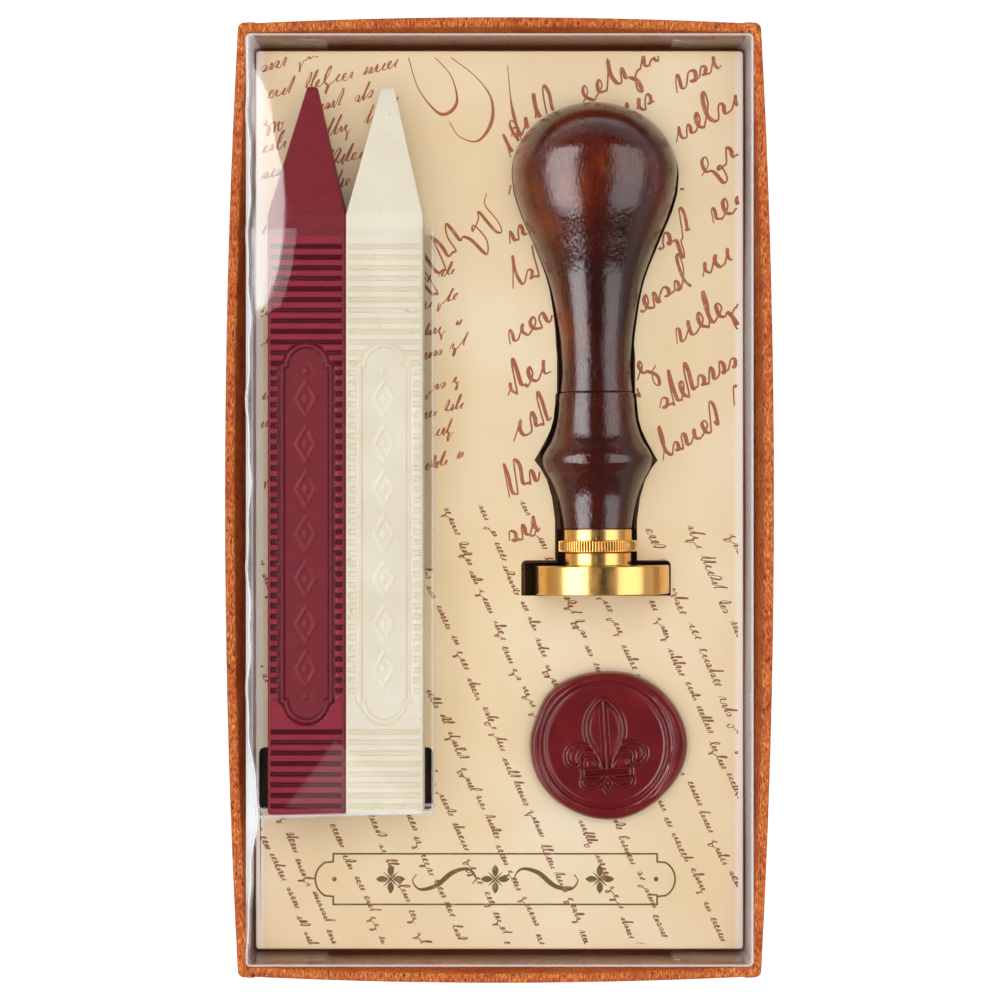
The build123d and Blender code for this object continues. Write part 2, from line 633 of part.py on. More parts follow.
def lily(height):
    """Three-petalled lily: leaf, two curled side petals, a band and a foot, all closed shapes."""

    def sized(points):
        return [(across * height, up * height) for across, up in points]

    leaf, petal, petal_back = sized(LILY_LEAF), sized(LILY_PETAL), sized(LILY_PETAL_BACK)
    tail, curl = sized(LILY_TAIL), sized(LILY_CURL)
    with BuildSketch() as flower:
        with BuildLine():
            Spline(*leaf, tangents=LILY_LEAF_WAYS)
            Polyline(leaf[-1], (0, leaf[-1][1]), leaf[0])
        make_face()
        with BuildLine():
            Spline(*petal, tangents=LILY_PETAL_WAYS)
            Spline(*petal_back, tangents=LILY_PETAL_BACK_WAYS)
            Line(petal_back[-1], petal[0])
        make_face()
        with BuildLine():
            Spline(*tail, tangents=LILY_TAIL_WAYS)
            Polyline(tail[-1], (0, tail[0][1]), tail[0])
        make_face()
        with BuildLine():
            Spline(*curl, tangents=LILY_CURL_WAYS)
            Line(curl[-1], curl[0])
        make_face()
        mirror(about=Plane.YZ)
        with Locations((0, LILY_BAND_UP * height)):
            Rectangle(*[share * height for share in LILY_BAND])
    return flower.sketch


lily_shape = lily(LILY_HEIGHT)

with BuildPart() as seal_head:
    with BuildSketch(across_stamp(0)):
        with Locations((DISC_OFFSET, 0)):
            Circle(DISC_DIAMETER / 2)
    extrude(amount=DISC_THICKNESS)
    chamfer(seal_head.edges(), DISC_EDGE)
    with BuildSketch(across_stamp(DISC_THICKNESS)):
        Circle(NECK_DIAMETER / 2)
    extrude(amount=NECK_LENGTH)
    with BuildSketch(across_stamp(COLLAR_START)):
        Circle(STUD_DIAMETER / 2 + STUD_RUNNING_GAP)
    extrude(amount=STUD_START - HEAD_GAP - COLLAR_START, mode=Mode.SUBTRACT)
    face_plane = across_stamp(0, flip=True)
    face_plane.origin = STAMP_PLANE.from_local_coords((DISC_OFFSET, 0, 0))
    with BuildSketch(face_plane):
        add(lily_shape)
    extrude(amount=-LILY_RELIEF, mode=Mode.SUBTRACT)
save(seal_head.part, "seal_head")

with BuildPart() as brass_collar:
    with BuildSketch(across_stamp(COLLAR_START + HEAD_GAP)):
        with BuildLine():
            knurls = []
            for step in range(2 * KNURL_COUNT):
                angle = math.pi * step / KNURL_COUNT
                radius = KNURL_DIAMETER / 2 - KNURL_DEPTH * (step % 2)
                knurls.append((radius * math.cos(angle), radius * math.sin(angle)))
            Polyline(*knurls, close=True)
        make_face()
    extrude(amount=KNURL_LENGTH - HEAD_GAP)
    with BuildSketch(across_stamp(HANDLE_START)):
        Circle(COLLAR_DIAMETER / 2)
    extrude(amount=-COLLAR_LENGTH)
    with BuildSketch(across_stamp(HANDLE_START)):
        Circle(SPIGOT_DIAMETER / 2)
    extrude(amount=SPIGOT_LENGTH)
    with BuildSketch(across_stamp(COLLAR_START)):
        Circle(STUD_DIAMETER / 2 + BORE_GAP)
    extrude(amount=HANDLE_START + SPIGOT_LENGTH - COLLAR_START, mode=Mode.SUBTRACT)
save(brass_collar.part, "brass_collar")

with BuildPart() as stamp_stud:
    with BuildSketch(across_stamp(STUD_START)):
        Circle(STUD_DIAMETER / 2)
    extrude(amount=STUD_LENGTH)
    chamfer(stamp_stud.edges(), STUD_CHAMFER)
save(stamp_stud.part, "stamp_stud")

with BuildPart() as stamp_handle:
    with BuildSketch(STAMP_PLANE):
        with BuildLine():
            Polyline(
                (0, HANDLE_TOP),
                (0, HANDLE_START),
                (HANDLE_END_RADIUS, HANDLE_START),
            )
            handle_curve(0)
        make_face()
    revolve(axis=STAMP_AXIS)
    with BuildSketch(STAMP_PLANE):
        with Locations((WAIST_RADIUS, LINE_AT)):
            Rectangle(2 * LINE_DEPTH, LINE_DEPTH)
    revolve(axis=STAMP_AXIS, mode=Mode.SUBTRACT)
    with BuildSketch(across_stamp(HANDLE_START)):
        Circle(SPIGOT_DIAMETER / 2 + BORE_GAP)
    extrude(amount=SPIGOT_LENGTH + BORE_GAP, mode=Mode.SUBTRACT)
    with BuildSketch(across_stamp(HANDLE_START)):
        Circle(STUD_DIAMETER / 2 + BORE_GAP)
    extrude(amount=STUD_START + STUD_LENGTH + BORE_GAP - HANDLE_START, mode=Mode.SUBTRACT)
save(stamp_handle.part, "stamp_handle")

# ---- Wax seal sample on its glue dot ----
with BuildPart() as seal_glue_dot:
    with BuildSketch(Plane(origin=(SEAL_X, SEAL_Y, CARD_Z))):
        Circle(SEAL_GLUE_DIAMETER / 2)
    extrude(amount=SEAL_GLUE)
save(seal_glue_dot.part, "seal_glue_dot")

with BuildPart() as wax_seal_sample:
    with BuildSketch(Plane(origin=(SEAL_X, SEAL_Y, SEAL_LOW_Z))):
        with BuildLine():
            rim = []
            for step in range(SEAL_RIM_POINTS):
                angle = math.tau * step / SEAL_RIM_POINTS
                wave = math.sin(SEAL_LOBES * angle + SEAL_LOBE_START)
                reach = (1 + SEAL_WAVE / SEAL_WIDTH * wave) / 2
                x = SEAL_WIDTH * reach * math.cos(angle)
                rim.append((x, SEAL_LENGTH * reach * math.sin(angle)))
            Spline(*rim, periodic=True)
        make_face()
    extrude(amount=SEAL_THICKNESS)
    fillet(wax_seal_sample.edges().group_by(Axis.Z)[-1], SEAL_EDGE)
    lily_angle = math.radians(LILY_TILT)
    print_plane = Plane(
        origin=(SEAL_X + PRINT_SHIFT, SEAL_Y, SEAL_TOP_Z - PRINT_DEPTH),
        x_dir=(math.cos(lily_angle), math.sin(lily_angle), 0),
        z_dir=(0, 0, 1),
    )
    with BuildSketch(print_plane):
        Circle(PRINT_DIAMETER / 2)
    extrude(amount=PRINT_DEPTH, mode=Mode.SUBTRACT)
    with BuildSketch(print_plane):
        add(lily_shape)
    extrude(amount=LILY_RELIEF)
save(wax_seal_sample.part, "wax_seal_sample")
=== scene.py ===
import math

import bmesh
import bpy
import numpy as np
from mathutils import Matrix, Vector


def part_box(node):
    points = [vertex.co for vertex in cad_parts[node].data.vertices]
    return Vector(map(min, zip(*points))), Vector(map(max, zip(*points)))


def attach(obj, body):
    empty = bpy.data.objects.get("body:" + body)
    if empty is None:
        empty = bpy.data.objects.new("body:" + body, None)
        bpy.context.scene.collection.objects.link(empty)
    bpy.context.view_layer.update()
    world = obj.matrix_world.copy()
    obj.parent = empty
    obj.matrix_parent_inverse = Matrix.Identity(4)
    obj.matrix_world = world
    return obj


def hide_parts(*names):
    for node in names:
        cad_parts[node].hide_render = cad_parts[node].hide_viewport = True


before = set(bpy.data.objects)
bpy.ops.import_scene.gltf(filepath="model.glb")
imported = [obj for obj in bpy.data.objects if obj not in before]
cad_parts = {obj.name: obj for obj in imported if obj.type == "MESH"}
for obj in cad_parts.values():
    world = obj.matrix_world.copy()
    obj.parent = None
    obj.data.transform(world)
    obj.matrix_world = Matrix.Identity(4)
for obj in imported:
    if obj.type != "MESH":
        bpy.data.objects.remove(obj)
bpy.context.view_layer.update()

# Wax seal set box. Lengths are in millimetres up to the point where a mesh is made.
# +Y runs along the box towards the knob of the stamp, +Z up through the clear lid.
MM = 0.001
TAU = 2 * math.pi

# ---- Tray ----
TRAY_WIDTH = 96.6
TRAY_LENGTH = 175.8
TRAY_HEIGHT = 25.5
WALL = 1.9
WRAP = 0.25
FLOOR_Z = 1.75
TURN_IN = 12.0
RIM_BOW_SIDE = 2.4
RIM_BOW_END = 1.2
TRAY_CORNER = 1.2
LAP_WIDTH = 3.2  # covering paper folded round each corner onto the end walls
LAP_RISE = 0.22

# ---- Lid and sleeve ----
LID_WIDTH = 92.2
LID_LENGTH = 169.3
LID_LOW_Z = 1.95
LID_TOP_Z = 35.5
LID_FILM = 0.3
LID_FOLD = 0.6
LID_SAG = 0.1
DENT_Y = -57.4  # where the lid's left edge is pressed in
DENT_DEPTH = 1.5
TAB_WIDTH = 14.0
TAB_TAPER = 4.0
TAB_END_GAP = 2.0
SLEEVE_FILM = 0.2
SLEEVE_SKEW = 0.028  # the closed end runs this much off square
FLAP_WIDTH = 2.2
FLAP_END_Y = -13.1

# ---- Card ----
CARD_Z = 18.5
CARD_HALF_X = 45.5
CARD_HALF_Y = 83.8
INK_LIFT = 0.01

# ---- Sticks. Distances along a stick start at its butt ----
STICK_HALF = 7.05
STICK_HALF_DEPTH = 7.1
STICK_LENGTH = 133.2
SHOULDER = 109.2
TIP_HALF = 1.15
STICK_EDGE = 0.45
RIB_PITCH = 1.93
RIB_HALF = 0.42
RIB_DEPTH = 0.36
BUTT_RIBS = (1.6, 8)  # first groove, number of grooves
HEAD_RIBS = (82.19, 12)
PANEL_LOW = 17.0
PANEL_HIGH = 85.4
RAIL_X = 4.33  # middle of the raised border beside the panel
ARCH_RADIUS = 3.65
BORDER_HALF = 0.36
FIELD_DEPTH = 0.42
MOAT_HALF = 0.8
BEAD_NEAR, BEAD_FAR = 5.35, 6.6
LOZENGE_PITCH = 8.2
LOZENGE_HALF_X, LOZENGE_HALF_Y = 1.75, 3.0

# ---- Stamp. Distances along it start at the sealing face ----
STAMP_X = 18.37
STAMP_Y = -17.5
STAMP_TILT = math.radians(0.45)
DISC_OFFSET = 0.8
DISC_RADIUS = 12.5
DISC_THICKNESS = 5.35
HANDLE_START = 12.1
HANDLE_TOP = 91.6
KNOB_RADIUS = 15.4
KNOB_AT = 78.3
LINE_AT = 37.5  # groove cut into the neck of the handle
LINE_DEPTH = 0.22
COLLAR_START = 7.87
KNURL_END = 10.0
KNURL_RADIUS = 7.3
KNURL_COUNT = 84
KNURL_DEPTH = 0.4
NECK_RADIUS = 6.5

# ---- Wax seal sample. Levels are above its underside ----
SEAL_X = 20.1
SEAL_Y = -45.5
SEAL_LOW_Z = 18.8
SEAL_HALF_X, SEAL_HALF_Y = 14.75, 13.9
EDGE_LEVEL = 0.3
FIELD_LEVEL = 2.05
LIP_LEVEL = 2.72
PRINT_SHIFT = -0.4
PRINT_RADIUS = 11.5
RING_HEIGHT = 0.2
GROOVE_DEPTH = 0.2
FOLD_HEIGHT = 0.46
CREASE_DEPTH = 0.34
LILY_TILT = math.radians(3.5)
RIDGE_HEIGHT = 0.6


def node_box(node):
    """Lowest and highest corner of a CAD node, in millimetres."""
    low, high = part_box(node)
    return np.array(low) / MM, np.array(high) / MM


# ---------------------------------------------------------------- shapes


def skin(rings, loop=False, pinched=False):
    """Closed skin over rings of points, an array of (rings, points per ring, 3).

    Quads join each ring to the next. With loop the last ring joins the first. Without it a fan
    of triangles to the middle of each end ring closes the skin. With pinched the end rings have
    no width, and their points fall together when the piece merges its doubles."""
    count, around = rings.shape[:2]
    points = rings.reshape(-1, 3)
    i = np.arange(count if loop else count - 1)[:, None]
    j = np.arange(around)[None, :]
    after_i, after_j = (i + 1) % count, (j + 1) % around
    corners = (i * around + j, i * around + after_j, after_i * around + after_j)
    quads = np.stack([*corners, after_i * around + j], -1).reshape(-1, 4)
    if loop or pinched:
        return points, quads, np.empty((0, 3), int)
    middle_first, middle_last = len(points), len(points) + 1
    points = np.concatenate([points, rings[:1].mean(1), rings[-1:].mean(1)])
    j = np.arange(around)
    k, last = (j + 1) % around, (count - 1) * around
    ends = ((middle_first, k, j), (middle_last, j + last, k + last))
    fans = [np.stack(np.broadcast_arrays(*end), -1) for end in ends]
    return points, quads, np.concatenate(fans)


def joined(shells):
    """One set of vertices and faces from closed shells, each turned to face outwards.

    The sum of v0 . (v1 x v2) over a shell's triangles is six times its volume. It is negative
    where the faces point inwards, and then they are turned round."""
    verts, faces, start = [], [], 0
    for points, quads, fans in shells:
        triangles = np.concatenate([quads[:, :3], quads[:, [0, 2, 3]], fans])
        a, b, c = (points[triangles[:, corner]] for corner in range(3))
        if np.einsum("ij,ij->", a, np.cross(b, c)) < 0:
            quads, fans = quads[:, ::-1], fans[:, ::-1]
        verts.append(points)
        faces += (quads + start).tolist() + (fans + start).tolist()
        start += len(points)
    return np.concatenate(verts), faces


def linked(name, data):
    """Object around a mesh, lamp or camera, linked to the scene."""
    made = bpy.data.objects.new(name, data)
    bpy.context.scene.collection.objects.link(made)
    return made


def dressed(name, mesh, body, slot, finish, stands_for):
    """Object of a finished mesh: with its material, in place of CAD nodes, on a body. The slot argument is
    not used.
    """
    mesh.materials.append(finish)
    made = linked(name, mesh)
    if stands_for:
        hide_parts(*stands_for)
    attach(made, body)
    return made


def piece(name, shells, body, slot, finish, stands_for=(), crease=35, merge=False, marks=None):
    """Makes one object from closed shells, smooth but for edges sharper than crease degrees.

    With merge, points less than a micrometre apart become one, which closes pinched ends.
    marks is a value for each point of the first shell, which the finish reads as "marks"."""
    verts, faces = joined(shells)
    mesh = bpy.data.meshes.new(name)
    mesh.from_pydata((verts * MM).tolist(), [], faces)
    if marks is not None:
        held = mesh.attributes.new("marks", "FLOAT", "POINT")
        filled = np.zeros(len(mesh.vertices))
        filled[: marks.size] = marks.ravel()
        held.data.foreach_set("value", filled)
    if merge:
        work = bmesh.new()
        work.from_mesh(mesh)
        bmesh.ops.remove_doubles(work, verts=work.verts, dist=0.001 * MM)
        work.to_mesh(mesh)
        work.free()
    mesh.polygons.foreach_set("use_smooth", np.ones(len(mesh.polygons), bool))
    mesh.set_sharp_from_angle(angle=math.radians(crease))
    return dressed(name, mesh, body, slot, finish, stands_for)


def flowing(points, count):
    """Smooth curve through points, with count samples to a span.

    Catmull-Rom: between two points a cubic, whose slope at a point is half the step between the
    point's neighbours."""
    p = np.asarray(points, float)
    p = np.concatenate([2 * p[:1] - p[1:2], p, 2 * p[-1:] - p[-2:-1]])
    t = np.linspace(0, 1, count, endpoint=False)[:, None]
    a, b, c, d = p[:-3, None], p[1:-2, None], p[2:-1, None], p[3:, None]
    square, cube = 2 * a - 5 * b + 4 * c - d, 3 * b - a - 3 * c + d
    spans = (2 * b + (c - a) * t + square * t**2 + cube * t**3) / 2
    return np.concatenate([spans.reshape(-1, p.shape[1]), p[-2:-1]])


def eased(points, radius, steps=4):
    """Line of straight runs with rounded corners.

    Each corner becomes a parabola that starts and ends at radius from it, or at nearly half the
    shorter run beside it."""
    p = np.asarray(points, float)
    runs = np.linalg.norm(np.diff(p, axis=0), axis=1)
    t = np.linspace(0, 1, steps + 1)[:, None]
    parts = [p[:1]]
    for k in range(1, len(p) - 1):
        reach = min(radius, 0.49 * runs[k - 1], 0.49 * runs[k])
        start = p[k] + (p[k - 1] - p[k]) / runs[k - 1] * reach
        end = p[k] + (p[k + 1] - p[k]) / runs[k] * reach
        parts.append((1 - t) ** 2 * start + 2 * t * (1 - t) * p[k] + t**2 * end)
    return np.concatenate([*parts, p[-1:]])


def step(x, low, high):
    """Smooth step from 0 at low to 1 at high: 3 t^2 - 2 t^3."""
    t = np.clip((x - low) / (high - low), 0, 1)
    return t * t * (3 - 2 * t)


def away(x, y, line):
    """Distance of points x, y from a line of straight runs: the least over its runs."""
    line = np.asarray(line, float)
    starts, spans = line[:-1], np.diff(line, axis=0)
    best = np.full(np.shape(x), 1e9)
    for (ax, ay), (dx, dy) in zip(starts, spans):
        along = np.clip(((x - ax) * dx + (y - ay) * dy) / (dx * dx + dy * dy + 1e-12), 0, 1)
        best = np.minimum(best, np.hypot(x - ax - along * dx, y - ay - along * dy))
    return best


def boxed_loop(half_x, half_y, corner, bow_x=0.0, bow_y=0.0, along=(40, 64)):
    """Rounded rectangles, one for each entry of the half sizes: (rings, points, 2).

    Anticlockwise from the lower right corner. A side is a straight run plus a parabola that
    bulges it by bow at its middle. A corner is a quarter circle. Points crowd towards corners."""
    half_x, half_y, corner, bow_x, bow_y = (
        np.asarray(v, float)[..., None]
        for v in np.broadcast_arrays(half_x, half_y, corner, bow_x, bow_y)
    )
    long = np.sin(np.linspace(-1, 1, along[1]) * math.pi / 2)
    short = np.sin(np.linspace(-1, 1, along[0]) * math.pi / 2)
    turn = np.linspace(0, math.pi / 2, 7)[1:-1]
    flat_x, flat_y = half_x - corner, half_y - corner
    sides = []
    for quarter in range(4):
        way = (1, 1, -1, -1)[quarter]
        if quarter % 2 == 0:
            x = way * (half_x + bow_x * (1 - long**2))
            y = way * long * flat_y
        else:
            x = -way * short * flat_x
            y = way * (half_y + bow_y * (1 - short**2))
        angle = turn + quarter * math.pi / 2
        hand_x, hand_y = ((1, 1), (-1, 1), (-1, -1), (1, -1))[quarter]
        corner_x = hand_x * flat_x + corner * np.cos(angle)
        corner_y = hand_y * flat_y + corner * np.sin(angle)
        sides += [np.stack([x, y], -1), np.stack([corner_x, corner_y], -1)]
    return np.concatenate(sides, -2)


def on_stamp(across, height, distance):
    """Points in the stamp's own frame, brought to the box: turned by its tilt, then moved."""
    c, s = math.cos(STAMP_TILT), math.sin(STAMP_TILT)
    x = STAMP_X + across * c - distance * s
    y = STAMP_Y + across * s + distance * c
    return np.stack(np.broadcast_arrays(x, y, CARD_Z + height), -1)


def turned(profile, around, ripple=None):
    """Turned form: each (radius, distance) of the profile carried round the stamp's axis.
    ripple(angle, distance) is taken off its radius."""
    radius, distance = profile[:, :1], profile[:, 1:]
    angle = np.linspace(0, TAU, around, endpoint=False)[None]
    if ripple is not None:
        radius = radius - ripple(angle, distance)
    return on_stamp(radius * np.cos(angle), radius * np.sin(angle), distance)


# ---------------------------------------------------------------- materials


def linear(code):
    """Linear colour of an sRGB hex value: c / 12.92 up to 0.04045, ((c + 0.055) / 1.055)^2.4 above."""
    parts = [int(code[k : k + 2], 16) / 255 for k in (0, 2, 4)]
    return (*[c / 12.92 if c <= 0.04045 else ((c + 0.055) / 1.055) ** 2.4 for c in parts], 1.0)


def node(tree, kind, sockets=None, stops=(), **settings):
    """Adds a node with its settings. sockets maps an input to a value or to what feeds it, and
    stops are the (position, hex) pairs of a colour ramp."""
    made = tree.nodes.new(kind)
    for key, value in settings.items():
        setattr(made, key, value)
    for key, value in (sockets or {}).items():
        if isinstance(value, bpy.types.NodeSocket):
            tree.links.new(value, made.inputs[key])
        else:
            made.inputs[key].default_value = value
    if stops:
        elements = made.color_ramp.elements
        while len(elements) < len(stops):
            elements.new(0.5)
        for element, (position, code) in zip(elements, stops):
            element.position = position
            element.color = linear(code)
    return made


def per(size):
    """Scale of a noise whose patches are size millimetres across, on coordinates in metres."""
    return 1 / (size * MM)


def blank(name):
    """New material with an empty node tree, and that tree."""
    material = bpy.data.materials.new(name)
    material.use_nodes = True
    material.node_tree.nodes.clear()
    return material, material.node_tree


def opaque(name, build):
    """Material around one Principled shader. build(tree, place) gives the shader's sockets."""
    material, tree = blank(name)
    place = node(tree, "ShaderNodeTexCoord").outputs["Object"]
    shader = node(tree, "ShaderNodeBsdfPrincipled", build(tree, place))
    node(tree, "ShaderNodeOutputMaterial", {"Surface": shader.outputs[0]})
    return material


def covering_paper(tree, place):
    # Bonded-leather paper, embossed and stained: short torn fibres run along Y, pale where they
    # stand, with dark pores between them, in a warm orange-brown. Matt, with a rough edge.
    stretched = node(tree, "ShaderNodeMapping", {"Vector": place, "Scale": (1, 0.32, 1)}).outputs[0]
    fibres = node(
        tree,
        "ShaderNodeTexNoise",
        {"Vector": stretched, "Scale": per(0.34), "Detail": 5, "Roughness": 0.7},
    ).outputs["Fac"]
    pores = node(
        tree,
        "ShaderNodeTexNoise",
        {"Vector": stretched, "Scale": per(0.42), "Detail": 2, "Distortion": 0.6},
    ).outputs["Fac"]
    patches = node(
        tree, "ShaderNodeTexNoise", {"Vector": place, "Scale": per(6), "Detail": 4}
    ).outputs["Fac"]
    grain = node(
        tree,
        "ShaderNodeValToRGB",
        {"Fac": fibres},
        ((0.34, "702A06"), (0.43, "B4581A"), (0.52, "D4742C"), (0.6, "EA954C"), (0.7, "FFC888")),
    ).outputs["Color"]
    dye = node(
        tree,
        "ShaderNodeValToRGB",
        {"Fac": patches},
        ((0.32, "E0B490"), (0.5, "F8E2CC"), (0.68, "FFFCF6")),
    ).outputs["Color"]
    tone = node(
        tree, "ShaderNodeMix", {0: 1.0, 6: grain, 7: dye}, data_type="RGBA", blend_type="MULTIPLY"
    ).outputs[2]
    hole = node(
        tree, "ShaderNodeValToRGB", {"Fac": pores}, ((0.33, "FFFFFF"), (0.38, "000000"))
    ).outputs["Color"]
    pitted = node(
        tree, "ShaderNodeMix", {0: hole, 6: tone, 7: linear("5A2A12")}, data_type="RGBA"
    ).outputs[2]
    relief = node(tree, "ShaderNodeBump", {"Strength": 1.0, "Distance": 0.00025, "Height": fibres})
    return {
        "Base Color": pitted,
        "Roughness": 0.62,
        "Specular IOR Level": 0.2,
        "Normal": relief.outputs[0],
    }


def printed_card(tree, place):
    # Cream folding board, offset printed and satin varnished: nearly even, with a faint cloudy
    # tint, and a painted glare, pale, along the long sides next to the folds.
    cloud = node(
        tree, "ShaderNodeTexNoise", {"Vector": place, "Scale": per(22), "Detail": 3}
    ).outputs["Fac"]
    tint = node(
        tree,
        "ShaderNodeValToRGB",
        {"Fac": cloud},
        ((0.3, "EBCF9F"), (0.55, "EFD7AD"), (0.75, "F3E0BE")),
    ).outputs["Color"]
    # Painted glare: the colour turns pale towards the long edges, where light bounced off the lid would
    # fall
    across = node(tree, "ShaderNodeSeparateXYZ", {0: place}).outputs[0]
    side = node(tree, "ShaderNodeMath", {0: across}, operation="ABSOLUTE").outputs[0]
    start, end = (CARD_HALF_X - 1.9) * MM, (CARD_HALF_X - 1.1) * MM
    edge = node(tree, "ShaderNodeMapRange", {"Value": side, "From Min": start, "From Max": end})
    tone = node(
        tree,
        "ShaderNodeMix",
        {0: edge.outputs[0], 6: tint, 7: linear("F3E8DA")},
        data_type="RGBA",
    ).outputs[2]
    tooth = node(
        tree, "ShaderNodeTexNoise", {"Vector": place, "Scale": per(0.35), "Detail": 3}
    ).outputs["Fac"]
    relief = node(tree, "ShaderNodeBump", {"Strength": 0.08, "Distance": 0.0001, "Height": tooth})
    return {
        "Base Color": tone,
        "Roughness": 0.42,
        "Coat Weight": 0.25,
        "Coat Roughness": 0.2,
        "Normal": relief.outputs[0],
    }


def moulded(tree, raised, plain, hollow):
    """Colour of a cast face by its marks, with painted light: a painted highlight on raised lands at 0,
    plain faces at 0.5, painted shade in hollows at 1.
    """
    marks = node(tree, "ShaderNodeAttribute", attribute_name="marks").outputs["Fac"]
    stops = ((0.0, raised), (0.5, plain), (1.0, hollow))
    return node(tree, "ShaderNodeValToRGB", {"Fac": marks}, stops).outputs["Color"]


def red_wax(tree, place):
    # Burgundy sealing wax, cast in a mould: satin skin with a slight bloom, with painted shade in the
    # hollows and a painted highlight on the raised lands.
    bloom = node(
        tree, "ShaderNodeTexNoise", {"Vector": place, "Scale": per(2.2), "Detail": 5}
    ).outputs["Fac"]
    cloud = node(
        tree, "ShaderNodeValToRGB", {"Fac": bloom}, ((0.3, "EBEBEB"), (0.7, "FFFFFF"))
    ).outputs["Color"]
    scrape = node(tree, "ShaderNodeMapping", {"Vector": place, "Scale": (0.12, 1, 1)}).outputs[0]
    lines = node(
        tree, "ShaderNodeTexNoise", {"Vector": scrape, "Scale": per(0.3), "Detail": 3}
    ).outputs["Fac"]
    relief = node(tree, "ShaderNodeBump", {"Strength": 0.3, "Distance": 0.0001, "Height": lines})
    # Painted shade in the hollows and a painted highlight on the raised lands
    cast = moulded(tree, "9A2035", "851929", "500A13")
    tone = node(
        tree, "ShaderNodeMix", {0: 1.0, 6: cast, 7: cloud}, data_type="RGBA", blend_type="MULTIPLY"
    ).outputs[2]
    return {
        "Base Color": tone,
        "Roughness": 0.42,
        "Specular IOR Level": 0.2,
        "Subsurface Weight": 0.08,
        "Subsurface Radius": (0.0009, 0.0003, 0.0002),
        "Normal": relief.outputs[0],
    }


def seal_wax(tree, place):
    # The same wax melted and poured: glossy, with soft ripples left by the cooling skin.
    bloom = node(
        tree, "ShaderNodeTexNoise", {"Vector": place, "Scale": per(5), "Detail": 3}
    ).outputs["Fac"]
    tone = node(
        tree,
        "ShaderNodeValToRGB",
        {"Fac": bloom},
        ((0.3, "670A10"), (0.55, "721016"), (0.75, "7E1620")),
    ).outputs["Color"]
    ripple = node(
        tree, "ShaderNodeTexNoise", {"Vector": place, "Scale": per(1.6), "Detail": 2}
    ).outputs["Fac"]
    relief = node(tree, "ShaderNodeBump", {"Strength": 0.12, "Distance": 0.0002, "Height": ripple})
    return {
        "Base Color": tone,
        "Roughness": 0.42,
        "Specular IOR Level": 0.06,
        "Subsurface Weight": 0.06,
        "Subsurface Radius": (0.0009, 0.0003, 0.0002),
        "Coat Weight": 1.0,
        "Coat Roughness": 0.05,
        "Normal": relief.outputs[0],
    }


def ivory_wax(tree, place):
    # Ivory sealing wax, cast: milky and satin, with a few tan specks of pigment.
    speck = node(
        tree, "ShaderNodeTexNoise", {"Vector": place, "Scale": per(1.3), "Detail": 2}
    ).outputs["Fac"]
    haze = node(
        tree, "ShaderNodeTexNoise", {"Vector": place, "Scale": per(8), "Detail": 3}
    ).outputs["Fac"]
    cloud = node(
        tree, "ShaderNodeValToRGB", {"Fac": haze}, ((0.3, "F6F4F0"), (0.7, "FFFFFF"))
    ).outputs["Color"]
    # Faint painted shade in the hollows and a painted highlight on the raised lands
    cast = moulded(tree, "EFE7D3", "EDE4CF", "E9DFC4")
    base = node(
        tree, "ShaderNodeMix", {0: 1.0, 6: cast, 7: cloud}, data_type="RGBA", blend_type="MULTIPLY"
    ).outputs[2]
    dots = node(
        tree, "ShaderNodeValToRGB", {"Fac": speck}, ((0.72, "000000"), (0.76, "FFFFFF"))
    ).outputs["Color"]
    tone = node(
        tree, "ShaderNodeMix", {0: dots, 6: base, 7: linear("CDB07C")}, data_type="RGBA"
    ).outputs[2]
    relief = node(tree, "ShaderNodeBump", {"Strength": 0.1, "Distance": 0.0001, "Height": speck})
    return {
        "Base Color": tone,
        "Roughness": 0.46,
        "Subsurface Weight": 0.12,
        "Subsurface Radius": (0.0012, 0.001, 0.0007),
        "Normal": relief.outputs[0],
    }


